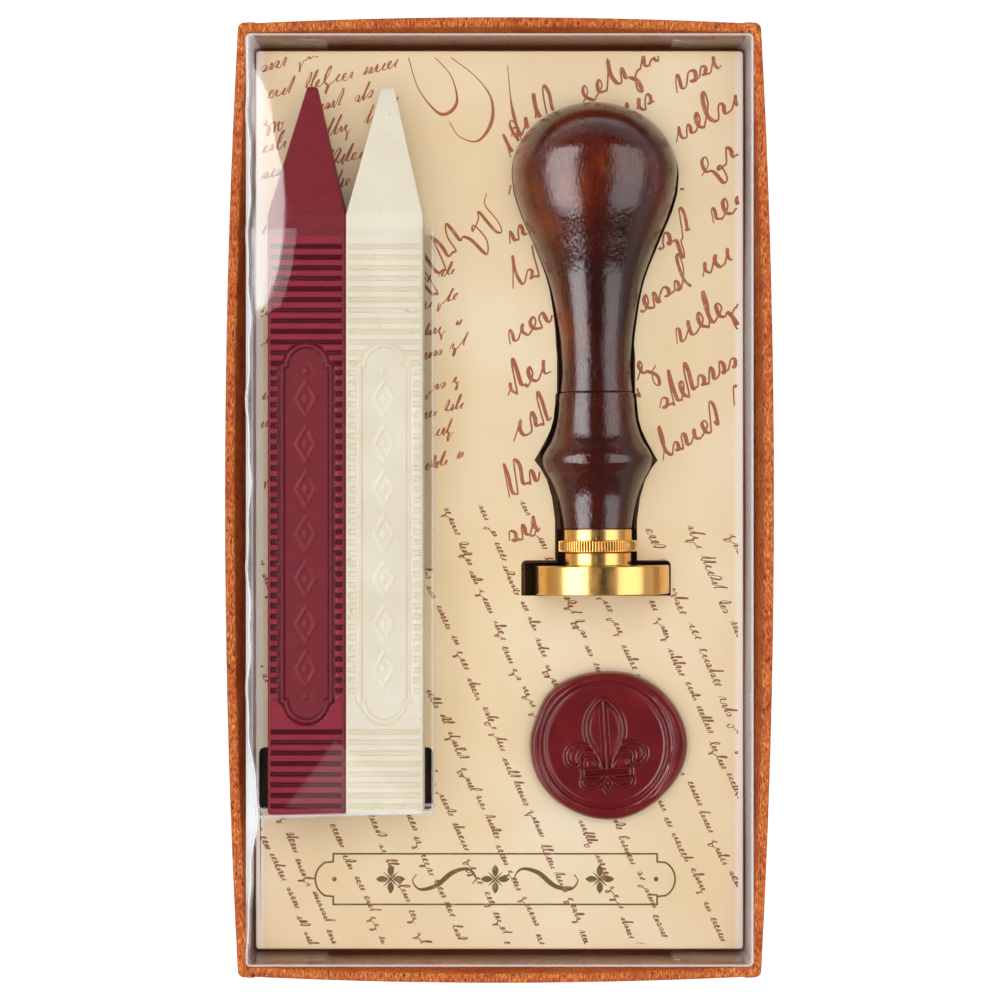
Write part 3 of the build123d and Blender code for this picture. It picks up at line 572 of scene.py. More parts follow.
def varnished_wood(tree, place):
    # Beech, turned, stained dark red-brown and dipped in varnish: fine dark pores along the
    # handle, and a painted light, paler and more orange, on the side that faces -X, under a glossy,
    # rippled coat.
    pores = node(tree, "ShaderNodeMapping", {"Vector": place, "Scale": (1, 0.12, 1)}).outputs[0]
    grain = node(
        tree,
        "ShaderNodeTexNoise",
        {"Vector": pores, "Scale": per(0.4), "Detail": 4, "Roughness": 0.6},
    ).outputs["Fac"]
    figure = node(
        tree,
        "ShaderNodeValToRGB",
        {"Fac": grain},
        ((0.3, "A89890"), (0.5, "F0EAE6"), (0.6, "FFFFFF")),
    ).outputs["Color"]
    broad = node(tree, "ShaderNodeMapping", {"Vector": place, "Scale": (1, 0.5, 1)}).outputs[0]
    patches = node(
        tree, "ShaderNodeTexNoise", {"Vector": broad, "Scale": per(13), "Detail": 3}
    ).outputs["Fac"]
    # Painted light: the stain is drawn paler towards -X, the side the lamps light most; the patches are
    # random tone
    across = node(tree, "ShaderNodeSeparateXYZ", {0: place}).outputs[0]
    painted_light_side = node(
        tree,
        "ShaderNodeMapRange",
        {
            "Value": across,
            "From Min": (STAMP_X - 13) * MM,
            "From Max": (STAMP_X + 6) * MM,
            "To Min": 0.16,
            "To Max": -0.03,
        },
    ).outputs[0]
    patches_and_painted_light = node(tree, "ShaderNodeMath", {0: patches, 1: painted_light_side}, operation="ADD").outputs[0]
    stain = node(
        tree,
        "ShaderNodeValToRGB",
        {"Fac": patches_and_painted_light},
        ((0.34, "2E0703"), (0.5, "470F05"), (0.66, "66200A"), (0.8, "93400F")),
    ).outputs["Color"]
    tone = node(
        tree,
        "ShaderNodeMix",
        {0: 1.0, 6: stain, 7: figure},
        data_type="RGBA",
        blend_type="MULTIPLY",
    ).outputs[2]
    running = node(tree, "ShaderNodeMapping", {"Vector": place, "Scale": (1, 0.45, 1)}).outputs[0]
    peel = node(
        tree,
        "ShaderNodeTexNoise",
        {"Vector": running, "Scale": per(0.5), "Detail": 4, "Distortion": 0.5},
    ).outputs["Fac"]
    ripple = node(tree, "ShaderNodeBump", {"Strength": 1.0, "Distance": 0.00006, "Height": peel})
    return {
        "Base Color": tone,
        "Roughness": 0.6,
        "Specular IOR Level": 0.0,
        "Coat Weight": 1.0,
        "Coat Roughness": 0.03,
        "Coat IOR": 1.68,
        "Coat Normal": ripple.outputs[0],
    }


def turned_brass(tree, place):
    # Brass, turned and polished on the lathe: warm mirror bands with hair-fine tool rings.
    rings = node(tree, "ShaderNodeMapping", {"Vector": place, "Scale": (0.03, 1, 0.03)}).outputs[0]
    tool = node(
        tree, "ShaderNodeTexNoise", {"Vector": rings, "Scale": per(0.12), "Detail": 3}
    ).outputs["Fac"]
    polish = node(
        tree, "ShaderNodeValToRGB", {"Fac": tool}, ((0.35, "727272"), (0.65, "8C8C8C"))
    ).outputs["Color"]
    relief = node(tree, "ShaderNodeBump", {"Strength": 0.12, "Distance": 0.00005, "Height": tool})
    return {
        "Base Color": linear("ECBD72"),
        "Metallic": 1.0,
        "Roughness": polish,
        "Normal": relief.outputs[0],
    }


def printing_ink(code):
    """Builder of a printed ink: thin, matt, a little uneven."""

    def build(tree, place):
        # Offset ink on varnished board: matt, paler where the film of ink is thin.
        patchy = node(
            tree, "ShaderNodeTexNoise", {"Vector": place, "Scale": per(1.2), "Detail": 3}
        ).outputs["Fac"]
        thin = node(tree, "ShaderNodeMapRange", {"Value": patchy, "From Min": 0.55, "From Max": 1.1})
        tone = node(
            tree,
            "ShaderNodeMix",
            {0: thin.outputs[0], 6: linear(code), 7: linear("D9B48C")},
            data_type="RGBA",
        )
        return {"Base Color": tone.outputs[2], "Roughness": 0.5, "Specular IOR Level": 0.3}

    return build


def fibrous(code, other, size, rough):
    """Builder of a plain fibrous or foamed stuff in two tones."""

    def build(tree, place):
        # Board, tape or foam as it comes off the roll or sheet: matt and finely mottled.
        flecks = node(
            tree, "ShaderNodeTexNoise", {"Vector": place, "Scale": per(size), "Detail": 5}
        ).outputs["Fac"]
        tone = node(tree, "ShaderNodeValToRGB", {"Fac": flecks}, ((0.35, code), (0.65, other)))
        relief = node(tree, "ShaderNodeBump", {"Strength": 0.5, "Distance": 0.0001, "Height": flecks})
        return {
            "Base Color": tone.outputs["Color"],
            "Roughness": rough,
            "Specular IOR Level": 0.12,
            "Normal": relief.outputs[0],
        }

    return build


def zinc_steel(tree, place):
    # Threaded steel rod with bright zinc plating: cool grey, slightly cloudy.
    cloud = node(
        tree, "ShaderNodeTexNoise", {"Vector": place, "Scale": per(1.5), "Detail": 3}
    ).outputs["Fac"]
    bright = node(
        tree, "ShaderNodeValToRGB", {"Fac": cloud}, ((0.3, "505050"), (0.7, "6C6C6C"))
    ).outputs["Color"]
    return {"Base Color": linear("BFC3C7"), "Metallic": 1.0, "Roughness": bright}


def clear_film(name, face_mirror):
    """Folded PET sheet: clear, a mirror by Schlick's curve, and matt white where it is marked: strain
    whitening, painted highlights and painted reflections.
    """
    # PET film, 0.2 to 0.3 mm, extruded and folded cold: glass-clear, and white on creases and
    # wherever else its piece is marked, as strain whitening and as painted highlights and reflections.
    material, tree = blank(name)
    place = node(tree, "ShaderNodeTexCoord").outputs["Object"]
    clear = node(tree, "ShaderNodeBsdfTransparent", {"Color": linear("FEFEFE")}).outputs[0]
    scuff = node(
        tree, "ShaderNodeTexNoise", {"Vector": place, "Scale": per(9), "Detail": 3}
    ).outputs["Fac"]
    blur = node(
        tree, "ShaderNodeValToRGB", {"Fac": scuff}, ((0.3, "101010"), (0.7, "2A2A2A"))
    ).outputs["Color"]
    mirror = node(tree, "ShaderNodeBsdfGlossy", {"Color": (1, 1, 1, 1), "Roughness": blur}).outputs[0]
    # The mirror's share is face_mirror head on and rises with (1 - cos)^5, alike on both faces
    slope = node(tree, "ShaderNodeLayerWeight", {"Blend": 0.5}).outputs["Facing"]
    steep = node(tree, "ShaderNodeMath", {0: slope, 1: 5.0}, operation="POWER").outputs[0]
    shine = node(
        tree, "ShaderNodeMapRange", {"Value": steep, "To Min": face_mirror, "To Max": 0.18}
    ).outputs[0]
    glassy = node(tree, "ShaderNodeMixShader", {0: shine, 1: clear, 2: mirror}).outputs[0]
    # Matt white for the marks: strain whitening, painted highlights and painted reflections of the lamps
    whitening_and_painted_glare = node(tree, "ShaderNodeBsdfDiffuse", {"Color": linear("F2F4F5")}).outputs[0]
    marks = node(tree, "ShaderNodeAttribute", attribute_name="marks").outputs["Fac"]
    shown = node(tree, "ShaderNodeMixShader", {0: marks, 1: glassy, 2: whitening_and_painted_glare}).outputs[0]
    node(tree, "ShaderNodeOutputMaterial", {"Surface": shown})
    return material


paper = opaque("covering_paper", covering_paper)
card = opaque("printed_card", printed_card)
stick_red = opaque("red_sealing_wax", red_wax)
stick_ivory = opaque("ivory_sealing_wax", ivory_wax)
poured_red = opaque("poured_sealing_wax", seal_wax)
wood = opaque("varnished_beech", varnished_wood)
brass = opaque("turned_brass", turned_brass)
brown_ink = opaque("brown_ink", printing_ink("A85A38"))
dark_ink = opaque("dark_brown_ink", printing_ink("8C5230"))
olive_ink = opaque("olive_ink", printing_ink("6B5526"))
greyboard = opaque("greyboard", fibrous("82796A", "A39A8B", 0.6, 0.85))
kraft = opaque("kraft_tape", fibrous("A87E4F", "C09868", 0.5, 0.7))
tape = opaque("paper_tape", fibrous("DDD2B8", "E9E0CB", 0.5, 0.6))
foam = opaque("black_foam", fibrous("3E2A1D", "583F2B", 0.35, 0.9))
glue = opaque("hot_melt_glue", fibrous("D9CFB6", "E6DEC9", 1.5, 0.35))
steel = opaque("zinc_plated_steel", zinc_steel)
lid_film = clear_film("clear_lid_film", 0.04)
sleeve_film = clear_film("clear_sleeve_film", 0.012)

# ---------------------------------------------------------------- tray


def wrap_rings():
    """Covering paper: its cross-section carried round the tray.

    The section runs from the turned-in edge under the base, up the outside, over the rim and
    down the inside, and back along the boards. Walls lean out with height, most at mid-length.
    A lap of paper stands proud on the end walls next to each corner."""
    inner_x = WALL - WRAP
    outside = eased(
        ((TURN_IN, 0), (0, 0), (0, TRAY_HEIGHT), (WALL, TRAY_HEIGHT), (WALL, FLOOR_Z)), 0.6, 5
    )
    back = [
        (inner_x, FLOOR_Z),
        (inner_x, TRAY_HEIGHT - WRAP),
        (WRAP, TRAY_HEIGHT - WRAP),
        (WRAP, WRAP),
        (TURN_IN, WRAP),
    ]
    rise = np.linspace(0.05, 0.95, 9)[:, None]
    tall = np.abs(np.diff(outside[:, 1])) > TRAY_HEIGHT / 2
    parts = []
    for k, (start, end) in enumerate(zip(outside[:-1], outside[1:])):
        parts.append(start[None])
        if tall[k]:
            parts.append(start + (end - start) * rise)
    section = np.concatenate([*parts, outside[-1:], back])
    inset, level = section[:, 0], section[:, 1]
    lean = level / TRAY_HEIGHT
    flat = boxed_loop(
        TRAY_WIDTH / 2 - inset,
        TRAY_LENGTH / 2 - inset,
        np.maximum(TRAY_CORNER - inset, 0.05),
        RIM_BOW_SIDE * lean,
        RIM_BOW_END * lean,
        (72, 96),
    )
    x, y = flat[..., 0], flat[..., 1]
    z = np.broadcast_to(level[:, None], x.shape)
    shown = np.arange(len(section))[:, None] < len(section) - len(back)
    lap_from = TRAY_WIDTH / 2 - LAP_WIDTH + 0.35 * (TRAY_HEIGHT - z) / TRAY_HEIGHT
    lap = step(np.abs(x), lap_from, lap_from + 0.25) * step(np.abs(y), 80, 84) * shown
    on_rim = step(z, TRAY_HEIGHT - 0.7, TRAY_HEIGHT)
    outer = (inset[:, None] < 0.9) & (z > 0.6)
    y = y + np.sign(y) * LAP_RISE * lap * (1 - on_rim) * outer
    z = z + LAP_RISE * lap * on_rim
    return np.stack([x, y, z], -1)


piece("tray_wrap_skin", [skin(wrap_rings(), loop=True)], "tray", "wrap_paper", paper, ["tray_wrap"])

# ---------------------------------------------------------------- clear lid


def lid_rings():
    """Lid: from the middle of the top outwards, over the fold, down the skirt, round its lower
    edge, and the same way back inside. The top sags by a parabola each way, with faint waves.
    The upper edge of the left skirt is pressed in and buckled. The second array says how white
    each point is painted: strained folds, whitened and with a painted highlight, and a painted
    reflection of the lamps over the long skirts, pale from above and nearly opaque on the left one."""
    half_x, half_y = LID_WIDTH / 2, LID_LENGTH / 2
    top = [(d, LID_TOP_Z) for d in (half_x, 38, 30, 23, 17, 12, 8, 5, 3, 1.8)]
    low = [(0, z) for z in (33.5, 32, 29, 24, 18, 10, LID_LOW_Z)]
    outer = eased([*top, (0, LID_TOP_Z), *low], LID_FOLD, 5)
    inner = outer[::-1].copy()
    inner[:, 0] += LID_FILM * (inner[:, 0] < 5)
    inner[:, 1] -= LID_FILM * (inner[:, 1] > 34.4)
    section = np.concatenate([outer, inner])
    inset, level = section[:, 0], section[:, 1]
    flat = boxed_loop(
        half_x - inset,
        half_y - inset,
        np.clip(1.0 - inset, 0.03 * (inset < half_x - 0.1), 1),
        along=(56, 120),
    )
    x, y = flat[..., 0], flat[..., 1]
    z = np.broadcast_to(level[:, None], x.shape)
    # Painted white: the fold along the top, strain whitening with a painted highlight, and a painted
    # reflection of the lamps on the long skirts, strongest on the left
    fold = (z > LID_TOP_Z - 0.61) * np.exp(-(((inset - 0.2) / 0.16) ** 2))[:, None]
    left_side = step(-x, half_x - 1.5, half_x - 1.0)
    right_side = step(x, half_x - 1.5, half_x - 1.0)
    left_side = left_side * (0.1 + 0.9 * step(y, -76, -69))
    skirt = (z < LID_TOP_Z - 0.5) * (0.85 * left_side + 0.32 * right_side)
    whitening_and_painted_glare = np.maximum(0.8 * fold, skirt)
    sag = np.clip(1 - (x / half_x) ** 2, 0, 1) * np.clip(1 - (y / half_y) ** 2, 0, 1)
    wave = 0.02 * np.sin(0.11 * x + 1.1) * np.sin(0.07 * y + 0.4)
    on_top = step(z, LID_TOP_Z - 0.5, LID_TOP_Z - 0.25)
    z = z - on_top * (LID_SAG * sag + wave * np.sqrt(sag))
    left = step(-x, half_x - 7, half_x - 1.5) * step(z, 33.7, 34.9)
    buckle = 0.25 * np.sin(0.23 * y + 0.6) + 0.16 * np.sin(0.61 * y)
    dent = DENT_DEPTH * np.exp(-(((y - DENT_Y) / 9) ** 2)) + 0.3 + buckle
    x = x + left * dent * step(half_y - np.abs(y), 1, 12)
    bulge = 0.12 * np.sin(0.09 * y + 2) * step(half_y - np.abs(y), 2, 20) * step(30 - z, -4, 8)
    x = x + np.sign(x) * bulge * (np.abs(x) > half_x - 1.2)
    return np.stack([x, y, z], -1), whitening_and_painted_glare


def prism(outline, low, high, to_box):
    """Flat plate: an outline at two levels, taken to the box by to_box(across, up, level)."""
    outline = np.asarray(outline, float)
    rings = [to_box(outline[:, 0], outline[:, 1], level) for level in (low, high)]
    return skin(np.stack(rings))


def lid_tabs():
    """The four glue tabs inside the end skirts, each a plate with slanted ends."""
    x = LID_WIDTH / 2 - LID_FILM - 0.02
    y = LID_LENGTH / 2 - LID_FILM - 0.01
    low, high = LID_LOW_Z + TAB_END_GAP, LID_TOP_Z - LID_FILM - LID_SAG - TAB_END_GAP
    outline = [
        (x, low),
        (x - TAB_WIDTH, low + TAB_TAPER),
        (x - TAB_WIDTH, high - TAB_TAPER),
        (x, high),
    ]
    tabs = []
    for hand in (-1, 1):
        for way in (-1, 1):

            def to_box(across, up, level):
                return np.stack([hand * across, np.full_like(across, way * level), up], -1)

            tabs.append(prism(outline, y - LID_FILM, y, to_box))
    return tabs


rings, whitening_and_painted_glare = lid_rings()
lid_shell = piece(
    "lid_shell",
    [skin(rings, pinched=True), *lid_tabs()],
    "lid",
    "film",
    lid_film,
    ["lid_cover"],
    merge=True,
    marks=whitening_and_painted_glare,
)

# ---------------------------------------------------------------- sleeve


def sleeve_rings():
    """Sleeve: from the middle of its closed end outwards, round the fold, along to the open end
    and back inside. The closed end runs a little off square."""
    low, high = node_box("stick_sleeve")
    middle = (low + high) / 2
    half_x, half_z = (high[0] - low[0]) / 2, (high[2] - low[2]) / 2
    ends = [(6.5, low[1]), (3, low[1]), (0, low[1])]
    run = [(0, y) for y in (low[1] + 4, low[1] + 12, -30, -10, 10, 30, high[1])]
    outer = eased([*ends, *run], 0.6, 4)
    inner = outer[::-1].copy()
    inner[:, 0] = np.minimum(inner[:, 0] + SLEEVE_FILM, 6.6)
    inner[:, 1] += SLEEVE_FILM * (inner[:, 1] < low[1] + 1)
    section = np.concatenate([outer, inner])
    inset, along = section[:, 0], section[:, 1]
    flat = boxed_loop(
        half_x - inset, half_z - inset, np.maximum(0.5 - inset, 0.02), along=(24, 12)
    )
    x = middle[0] + flat[..., 0]
    z = middle[2] + flat[..., 1]
    near_end = step(-along, -low[1] - 8, -low[1])[:, None]
    y = along[:, None] + SLEEVE_SKEW * flat[..., 0] * near_end
    # Painted white on the film: the closed end's fold, strain whitening with a painted glint, and a
    # painted highlight along the top's long edges
    crease = ((along < low[1] + 0.58) & (inset < 0.58))[:, None] * (np.abs(flat[..., 1]) > half_z - 2)
    rim = 0.2 * (np.abs(flat[..., 0]) > half_x - 0.45) * (flat[..., 1] > half_z - 0.4)
    return np.stack([x, y, z], -1), np.maximum(0.4 * crease, rim)


def sleeve_flap():
    """Glue flap: a narrow strip of film laid over the right edge of the sleeve's top."""
    low, high = node_box("stick_sleeve")
    x = high[0] - 0.3
    left, end = x - FLAP_WIDTH, high[1]
    outline = [(x, FLAP_END_Y), (x, end), (left, end), (left, FLAP_END_Y + 0.6)]
    under = high[2] + 0.01
    return prism(
        outline,
        under,
        under + SLEEVE_FILM,
        lambda across, up, level: np.stack([across, up, np.full_like(across, level)], -1),
    )


rings, whitening_and_painted_glare = sleeve_rings()
sleeve_shell = piece(
    "sleeve_shell",
    [skin(rings), sleeve_flap()],
    "sleeve",
    "film",
    sleeve_film,
    ["stick_sleeve"],
    marks=whitening_and_painted_glare,
)

for sheet in (lid_shell, sleeve_shell):  # clear sheet throws no shadow worth seeing
    sheet.visible_shadow = False
    sheet.visible_diffuse = False

# ---------------------------------------------------------------- wax sticks


def stick_relief(x, y):
    """How far a moulded face lies below its highest level, at x from its middle and y from the
    butt: grooves with a fine ridge in them, and between them a stepped round-ended panel in a
    raised border and a moat, with a column of square beads on each side."""
    depth = np.zeros_like(x)
    for first, number in (BUTT_RIBS, HEAD_RIBS):
        index = np.clip(np.round((y - first) / RIB_PITCH), 0, number - 1)
        off = np.abs(y - first - index * RIB_PITCH)
        groove = 1 - step(off, RIB_HALF - 0.14, RIB_HALF + 0.1)
        ridge = 0.45 * (1 - step(off, 0.03, 0.16))
        depth = np.maximum(depth, RIB_DEPTH * (groove - ridge * groove))
    ax = np.abs(x)
    low_arch, high_arch = PANEL_LOW + ARCH_RADIUS, PANEL_HIGH - ARCH_RADIUS
    nearest = np.clip(y, low_arch, high_arch)
    beyond = np.hypot(x, y - nearest)
    rails = away(ax, y, [(RAIL_X, low_arch), (RAIL_X, high_arch)])
    shoulders = np.minimum(
        away(ax, y, [(ARCH_RADIUS, high_arch), (RAIL_X, high_arch)]),
        away(ax, y, [(ARCH_RADIUS, low_arch), (RAIL_X, low_arch)]),
    )
    straight = y == nearest
    arc = np.where(straight, 1e9, np.abs(beyond - ARCH_RADIUS))
    border = np.minimum(np.minimum(rails, shoulders), arc)
    inside = np.where(straight, ax < RAIL_X, beyond < ARCH_RADIUS)
    moat = 1 - step(border, MOAT_HALF - 0.18, MOAT_HALF + 0.06)
    depth = np.maximum(depth * (1 - moat), FIELD_DEPTH * 0.9 * moat)
    depth = np.where(inside, FIELD_DEPTH, depth)
    crest = np.clip(1 - (border / BORDER_HALF) ** 2, 0, 1) ** 0.5
    depth = depth * (1 - crest) + 0.03 * crest
    # Beads
    beside = (y > low_arch + 0.4) & (y < high_arch - 0.4) & (ax > BEAD_NEAR - 0.3)
    off = np.abs((y - low_arch) / RIB_PITCH % 1 - 0.5) * RIB_PITCH
    bead = (1 - step(off, 0.42, 0.62)) * step(ax, BEAD_NEAR - 0.1, BEAD_NEAR + 0.1)
    bead = np.maximum(bead * (1 - step(ax, BEAD_FAR - 0.15, BEAD_FAR)), 0)
    channel = 0.36 * step(ax, BEAD_NEAR - 0.35, BEAD_NEAR - 0.1)
    channel = channel * (1 - step(ax, BEAD_FAR - 0.05, BEAD_FAR + 0.15))
    depth = np.where(beside, np.maximum(depth * (ax < BEAD_NEAR), channel * (1 - bead)), depth)
    # A stud at each end of the panel and a row of lozenges between them
    for place in (low_arch + 0.9, high_arch - 0.9):
        far = np.hypot(x, y - place)
        depth = depth - 0.28 * (1 - step(far, 0.3, 0.62)) + 0.1 * np.exp(-(((far - 0.9) / 0.25) ** 2))
    middle = (low_arch + high_arch) / 2
    index = np.clip(np.round((y - middle) / LOZENGE_PITCH), -3, 3)
    along = y - middle - index * LOZENGE_PITCH
    lozenge = np.abs(ax / LOZENGE_HALF_X + np.abs(along) / LOZENGE_HALF_Y - 1) * 1.5
    depth = depth - 0.3 * (1 - step(lozenge, 0.12, 0.42)) * inside
    heart = np.hypot(x / 0.5, along / 0.8)
    depth = depth - 0.24 * (1 - step(heart, 0.6, 1.0)) * inside
    depth = np.clip(depth, 0, 0.6)
    ribbed = (y < low_arch) | ((y > high_arch) & (y < HEAD_RIBS[0] + HEAD_RIBS[1] * RIB_PITCH))
    # Painted light for the finish: raised lands get a painted highlight, deep grooves and the moat painted
    # shade (0 lit, 0.5 plain, 1 shaded)
    proud = (ribbed | beside | (border < BORDER_HALF)) * ~inside * (1 - step(depth, 0.03, 0.14))
    dark = step(depth, 0.1, 0.34) * (~inside | (border < MOAT_HALF - 0.2))
    return depth, 0.5 - 0.5 * proud + 0.5 * dark


def stick_rings(node_name, tip_shift, tip_half):
    """Stick: a square section with rounded edges carried along it, narrowed to a blunt
    four-sided point. The relief is taken off the upper and lower faces."""
    low, high = node_box(node_name)
    middle = (low + high) / 2
    along = np.concatenate(
        [
            [0, 0.12, 0.3],
            np.arange(0.5, 106, 0.18),
            np.linspace(106.3, SHOULDER, 8),
            np.linspace(SHOULDER + 0.5, STICK_LENGTH - 0.25, 40),
            [STICK_LENGTH - 0.08, STICK_LENGTH],
        ]
    )
    shrink = np.clip((along - SHOULDER) / (STICK_LENGTH - SHOULDER), 0, 1)
    nose = 0.25 * (step(along, STICK_LENGTH - 0.25, STICK_LENGTH) + 1 - step(along, 0, 0.3))
    half_x = (STICK_HALF + (tip_half - STICK_HALF) * shrink - nose)[:, None]
    half_z = (STICK_HALF_DEPTH + (TIP_HALF - STICK_HALF_DEPTH) * shrink - nose)[:, None]
    edge = STICK_EDGE * (1 - 0.6 * shrink)[:, None]
    share = np.linspace(-1, 1, 56)[None]
    face_x = share * (half_x - edge)
    y = along[:, None]
    fade = 1 - step(np.abs(face_x), STICK_HALF - 0.62, STICK_HALF - 0.5)
    relief, tone = stick_relief(face_x, y + 0 * face_x)
    fade = fade * (y < SHOULDER - 1)
    relief = relief * fade
    turn = np.linspace(0, math.pi / 2, 5)[None, 1:-1]
    corner_x = half_x - edge + edge * np.sin(turn)
    corner_z = half_z - edge + edge * np.cos(turn)
    x = [face_x, corner_x, half_x, half_x, corner_x[:, ::-1]]
    z = [half_z - relief, corner_z, half_z - edge, edge - half_z, -corner_z[:, ::-1]]
    x = np.concatenate([*x, -face_x, -corner_x, -half_x, -half_x, -corner_x[:, ::-1]], 1)
    z = np.concatenate(
        [*z, relief - half_z, -corner_z, edge - half_z, half_z - edge, corner_z[:, ::-1]], 1
    )
    y = np.broadcast_to(y, x.shape)
    # The upper face carries the relief's painted highlight and painted shade
    marks = np.full_like(x, 0.5)
    marks[:, : relief.shape[1]] = 0.5 + (tone - 0.5) * fade
    x = x + tip_shift * shrink[:, None]
    return np.stack([middle[0] + x, low[1] + y, middle[2] + z], -1), marks


for name, finish, slot, tip_shift, tip_half in (
    ("red", stick_red, "red_wax", 0.75, 0.95),
    ("ivory", stick_ivory, "ivory_wax", 0.4, 1.15),
):
    source = f"wax_stick_{name}"
    rings, tone = stick_rings(source, tip_shift, tip_half)
    piece(
        f"{name}_stick_cast",
        [skin(rings)],
        f"{name}_stick",
        slot,
        finish,
        [source],
        crease=42,
        marks=tone,
    )

# ---------------------------------------------------------------- stamp


def handle_profile():
    """Turned outline of the handle, (radius, distance), closed at both ends by small radii."""
    outline = [
        (NECK_RADIUS, HANDLE_START), (6.72, 14.0), (7.5, 17.9), (8.75, 21.2), (9.85, 23.3),
        (10.4, 25.0), (9.85, 26.6), (8.5, 28.9), (7.5, 32.0), (7.1, 35.2), (6.8, LINE_AT),
        (6.5, 41.0), (6.62, 45.5), (7.1, 50.0), (8.6, 57.8), (11.16, 64.6), (13.67, 70.6),
        (14.98, 74.6),
    ]
    shaft = flowing(outline, 10)
    angle = np.linspace(-0.02, math.pi / 2 - 0.02, 40)
    crown = np.stack(
        [KNOB_RADIUS * np.cos(angle), KNOB_AT + (HANDLE_TOP - KNOB_AT) * np.sin(angle)], -1
    )
    near_line = np.linspace(LINE_AT - 0.5, LINE_AT + 0.5, 15)
    line = np.stack([np.interp(near_line, shaft[:, 1], shaft[:, 0]), near_line], -1)
    keep = np.abs(shaft[:, 1] - LINE_AT) > 0.55
    turned_line = np.concatenate([shaft[keep], line])
    turned_line = turned_line[np.argsort(turned_line[:, 1])]
    turned_line[:, 0] -= LINE_DEPTH * np.exp(-(((turned_line[:, 1] - LINE_AT) / 0.14) ** 2))
    lower = (turned_line[:, 1] < LINE_AT) & (turned_line[:, 1] > LINE_AT - 2.5)
    turned_line[:, 0] += 0.16 * lower * step(turned_line[:, 1], LINE_AT - 2.5, LINE_AT - 1)
    foot = [(0.5, HANDLE_START), (6.3, HANDLE_START)]
    return np.concatenate([foot, turned_line[1:], crown])


def knurl(angle, distance):
    """Depth cut into the knurled band: V notches between flat-topped teeth, evenly round it."""
    phase = np.abs(KNURL_COUNT * angle / TAU % 1 - 0.5)
    cut = np.clip(1 - phase / 0.32, 0, 1)
    low, high = COLLAR_START + 0.08, KNURL_END - 0.05
    band = step(distance, low, low + 0.2) * (1 - step(distance, high - 0.2, high))
    return KNURL_DEPTH * cut * band


# Right half of the lily's raised lines, (across, up) in millimetres from the print's middle
LEAF = (
    (0, 8.6), (0.75, 8.15), (1.55, 7.35), (2.4, 6.3), (3.05, 5.0), (3.36, 3.4), (3.32, 2.0),
    (2.85, 0.4), (2.2, -0.8), (1.6, -2.0), (1.15, -3.2), (0.95, -4.2),
)
PETAL = (
    (1.6, -1.9), (2.1, -1.0), (3.3, -0.05), (5.1, 0.3), (6.7, -0.35), (7.35, -1.75), (6.9, -3.0),
    (5.7, -3.75), (4.8, -3.25),
)
CRESCENT = ((1.15, -3.1), (1.75, -1.95), (2.9, -1.1), (4.2, -1.1), (5.0, -1.95), (4.8, -3.2))
BUD = ((1.3, -4.1), (1.75, -3.3), (2.6, -2.45), (3.6, -2.25), (4.15, -2.8), (4.2, -3.6))
BAND = ((0, -4.45), (4.3, -4.45), (4.3, -5.65), (0, -5.65))
FOOT = ((0.8, -5.9), (2.2, -6.45), (4.3, -6.2), (4.6, -6.9), (3.9, -7.65), (2.3, -7.75), (1.0, -7.0))
TAIL = ((0, -5.8), (0.75, -7.2), (0, -8.7))


def lily_height(x, y):
    """Height of the lily's raised lines at x, y from the print's middle: each line is a rounded
    ridge, and the ground beside them and inside leaf and band lies a little lower."""
    c, s = math.cos(LILY_TILT), math.sin(LILY_TILT)
    across, up = np.abs(x * c + y * s), y * c - x * s
    height = np.zeros_like(x)
    nearest = np.full_like(x, 9.0)
    lines = ((LEAF, 0.36), (PETAL, 0.3), (CRESCENT, 0.27), (BUD, 0.25), (FOOT, 0.27), (TAIL, 0.24))
    for line, half in lines:
        off = away(across, up, flowing(line, 6))
        nearest = np.minimum(nearest, off - half)
        ridge = np.clip(1 - (off / half) ** 2, 0, 1) ** 0.5
        height = np.maximum(height, RIDGE_HEIGHT * ridge)
    rib = away(across, up, ((0, 7.9), (0, -4.3))) - 0.08
    off = np.minimum(away(across, up, BAND), rib)
    nearest = np.minimum(nearest, off - 0.28)
    height = np.maximum(height, 0.66 * np.clip(1 - (off / 0.28) ** 2, 0, 1) ** 0.5)
    edge = np.interp(up, [p[1] for p in LEAF[::-1]], [p[0] for p in LEAF[::-1]], 0, 0)
    sunk = 0.22 * step(edge - across, 0.2, 0.6)
    sunk += 0.3 * step(4.3 - across, 0, 0.4) * step(0.62 - np.abs(up + 5.05), 0, 0.3)
    sunk += 0.12 * (1 - step(nearest, 0.1, 0.6))
    return np.where(height > 0.02, height, -sunk)


def seal_head_rings():
    """Brass head: the engraved face from its middle outwards, over the rounded edge, along the
    rim, in to the neck and up it. The disc's middle lies off the axis, the neck's on it."""
    inward = np.linspace(0.15, DISC_RADIUS - 0.5, 70)
    face = np.stack([inward, np.zeros_like(inward)], -1)
    rim_corners = [
        (DISC_RADIUS - 0.5, 0), (DISC_RADIUS, 0), (DISC_RADIUS, DISC_THICKNESS),
        (6.9, DISC_THICKNESS), (6.35, DISC_THICKNESS), (6.35, 7.8), (3.2, 7.8),
    ]
    rim = eased(rim_corners, 0.35, 5)[1:]
    profile = np.concatenate([face, rim])
    shift = DISC_OFFSET * step(profile[:, :1], 6.5, 9) + 0 * profile[:, :1]
    shift[: len(face) + 8] = DISC_OFFSET
    angle = np.linspace(0, TAU, 220, endpoint=False)[None]
    radius, distance = profile[:, :1], profile[:, 1:]
    across, height = radius * np.cos(angle), radius * np.sin(angle)
    engraved = np.maximum(lily_height(-across, height), 0) * (distance == 0)
    return on_stamp(across + shift, height, distance + engraved)


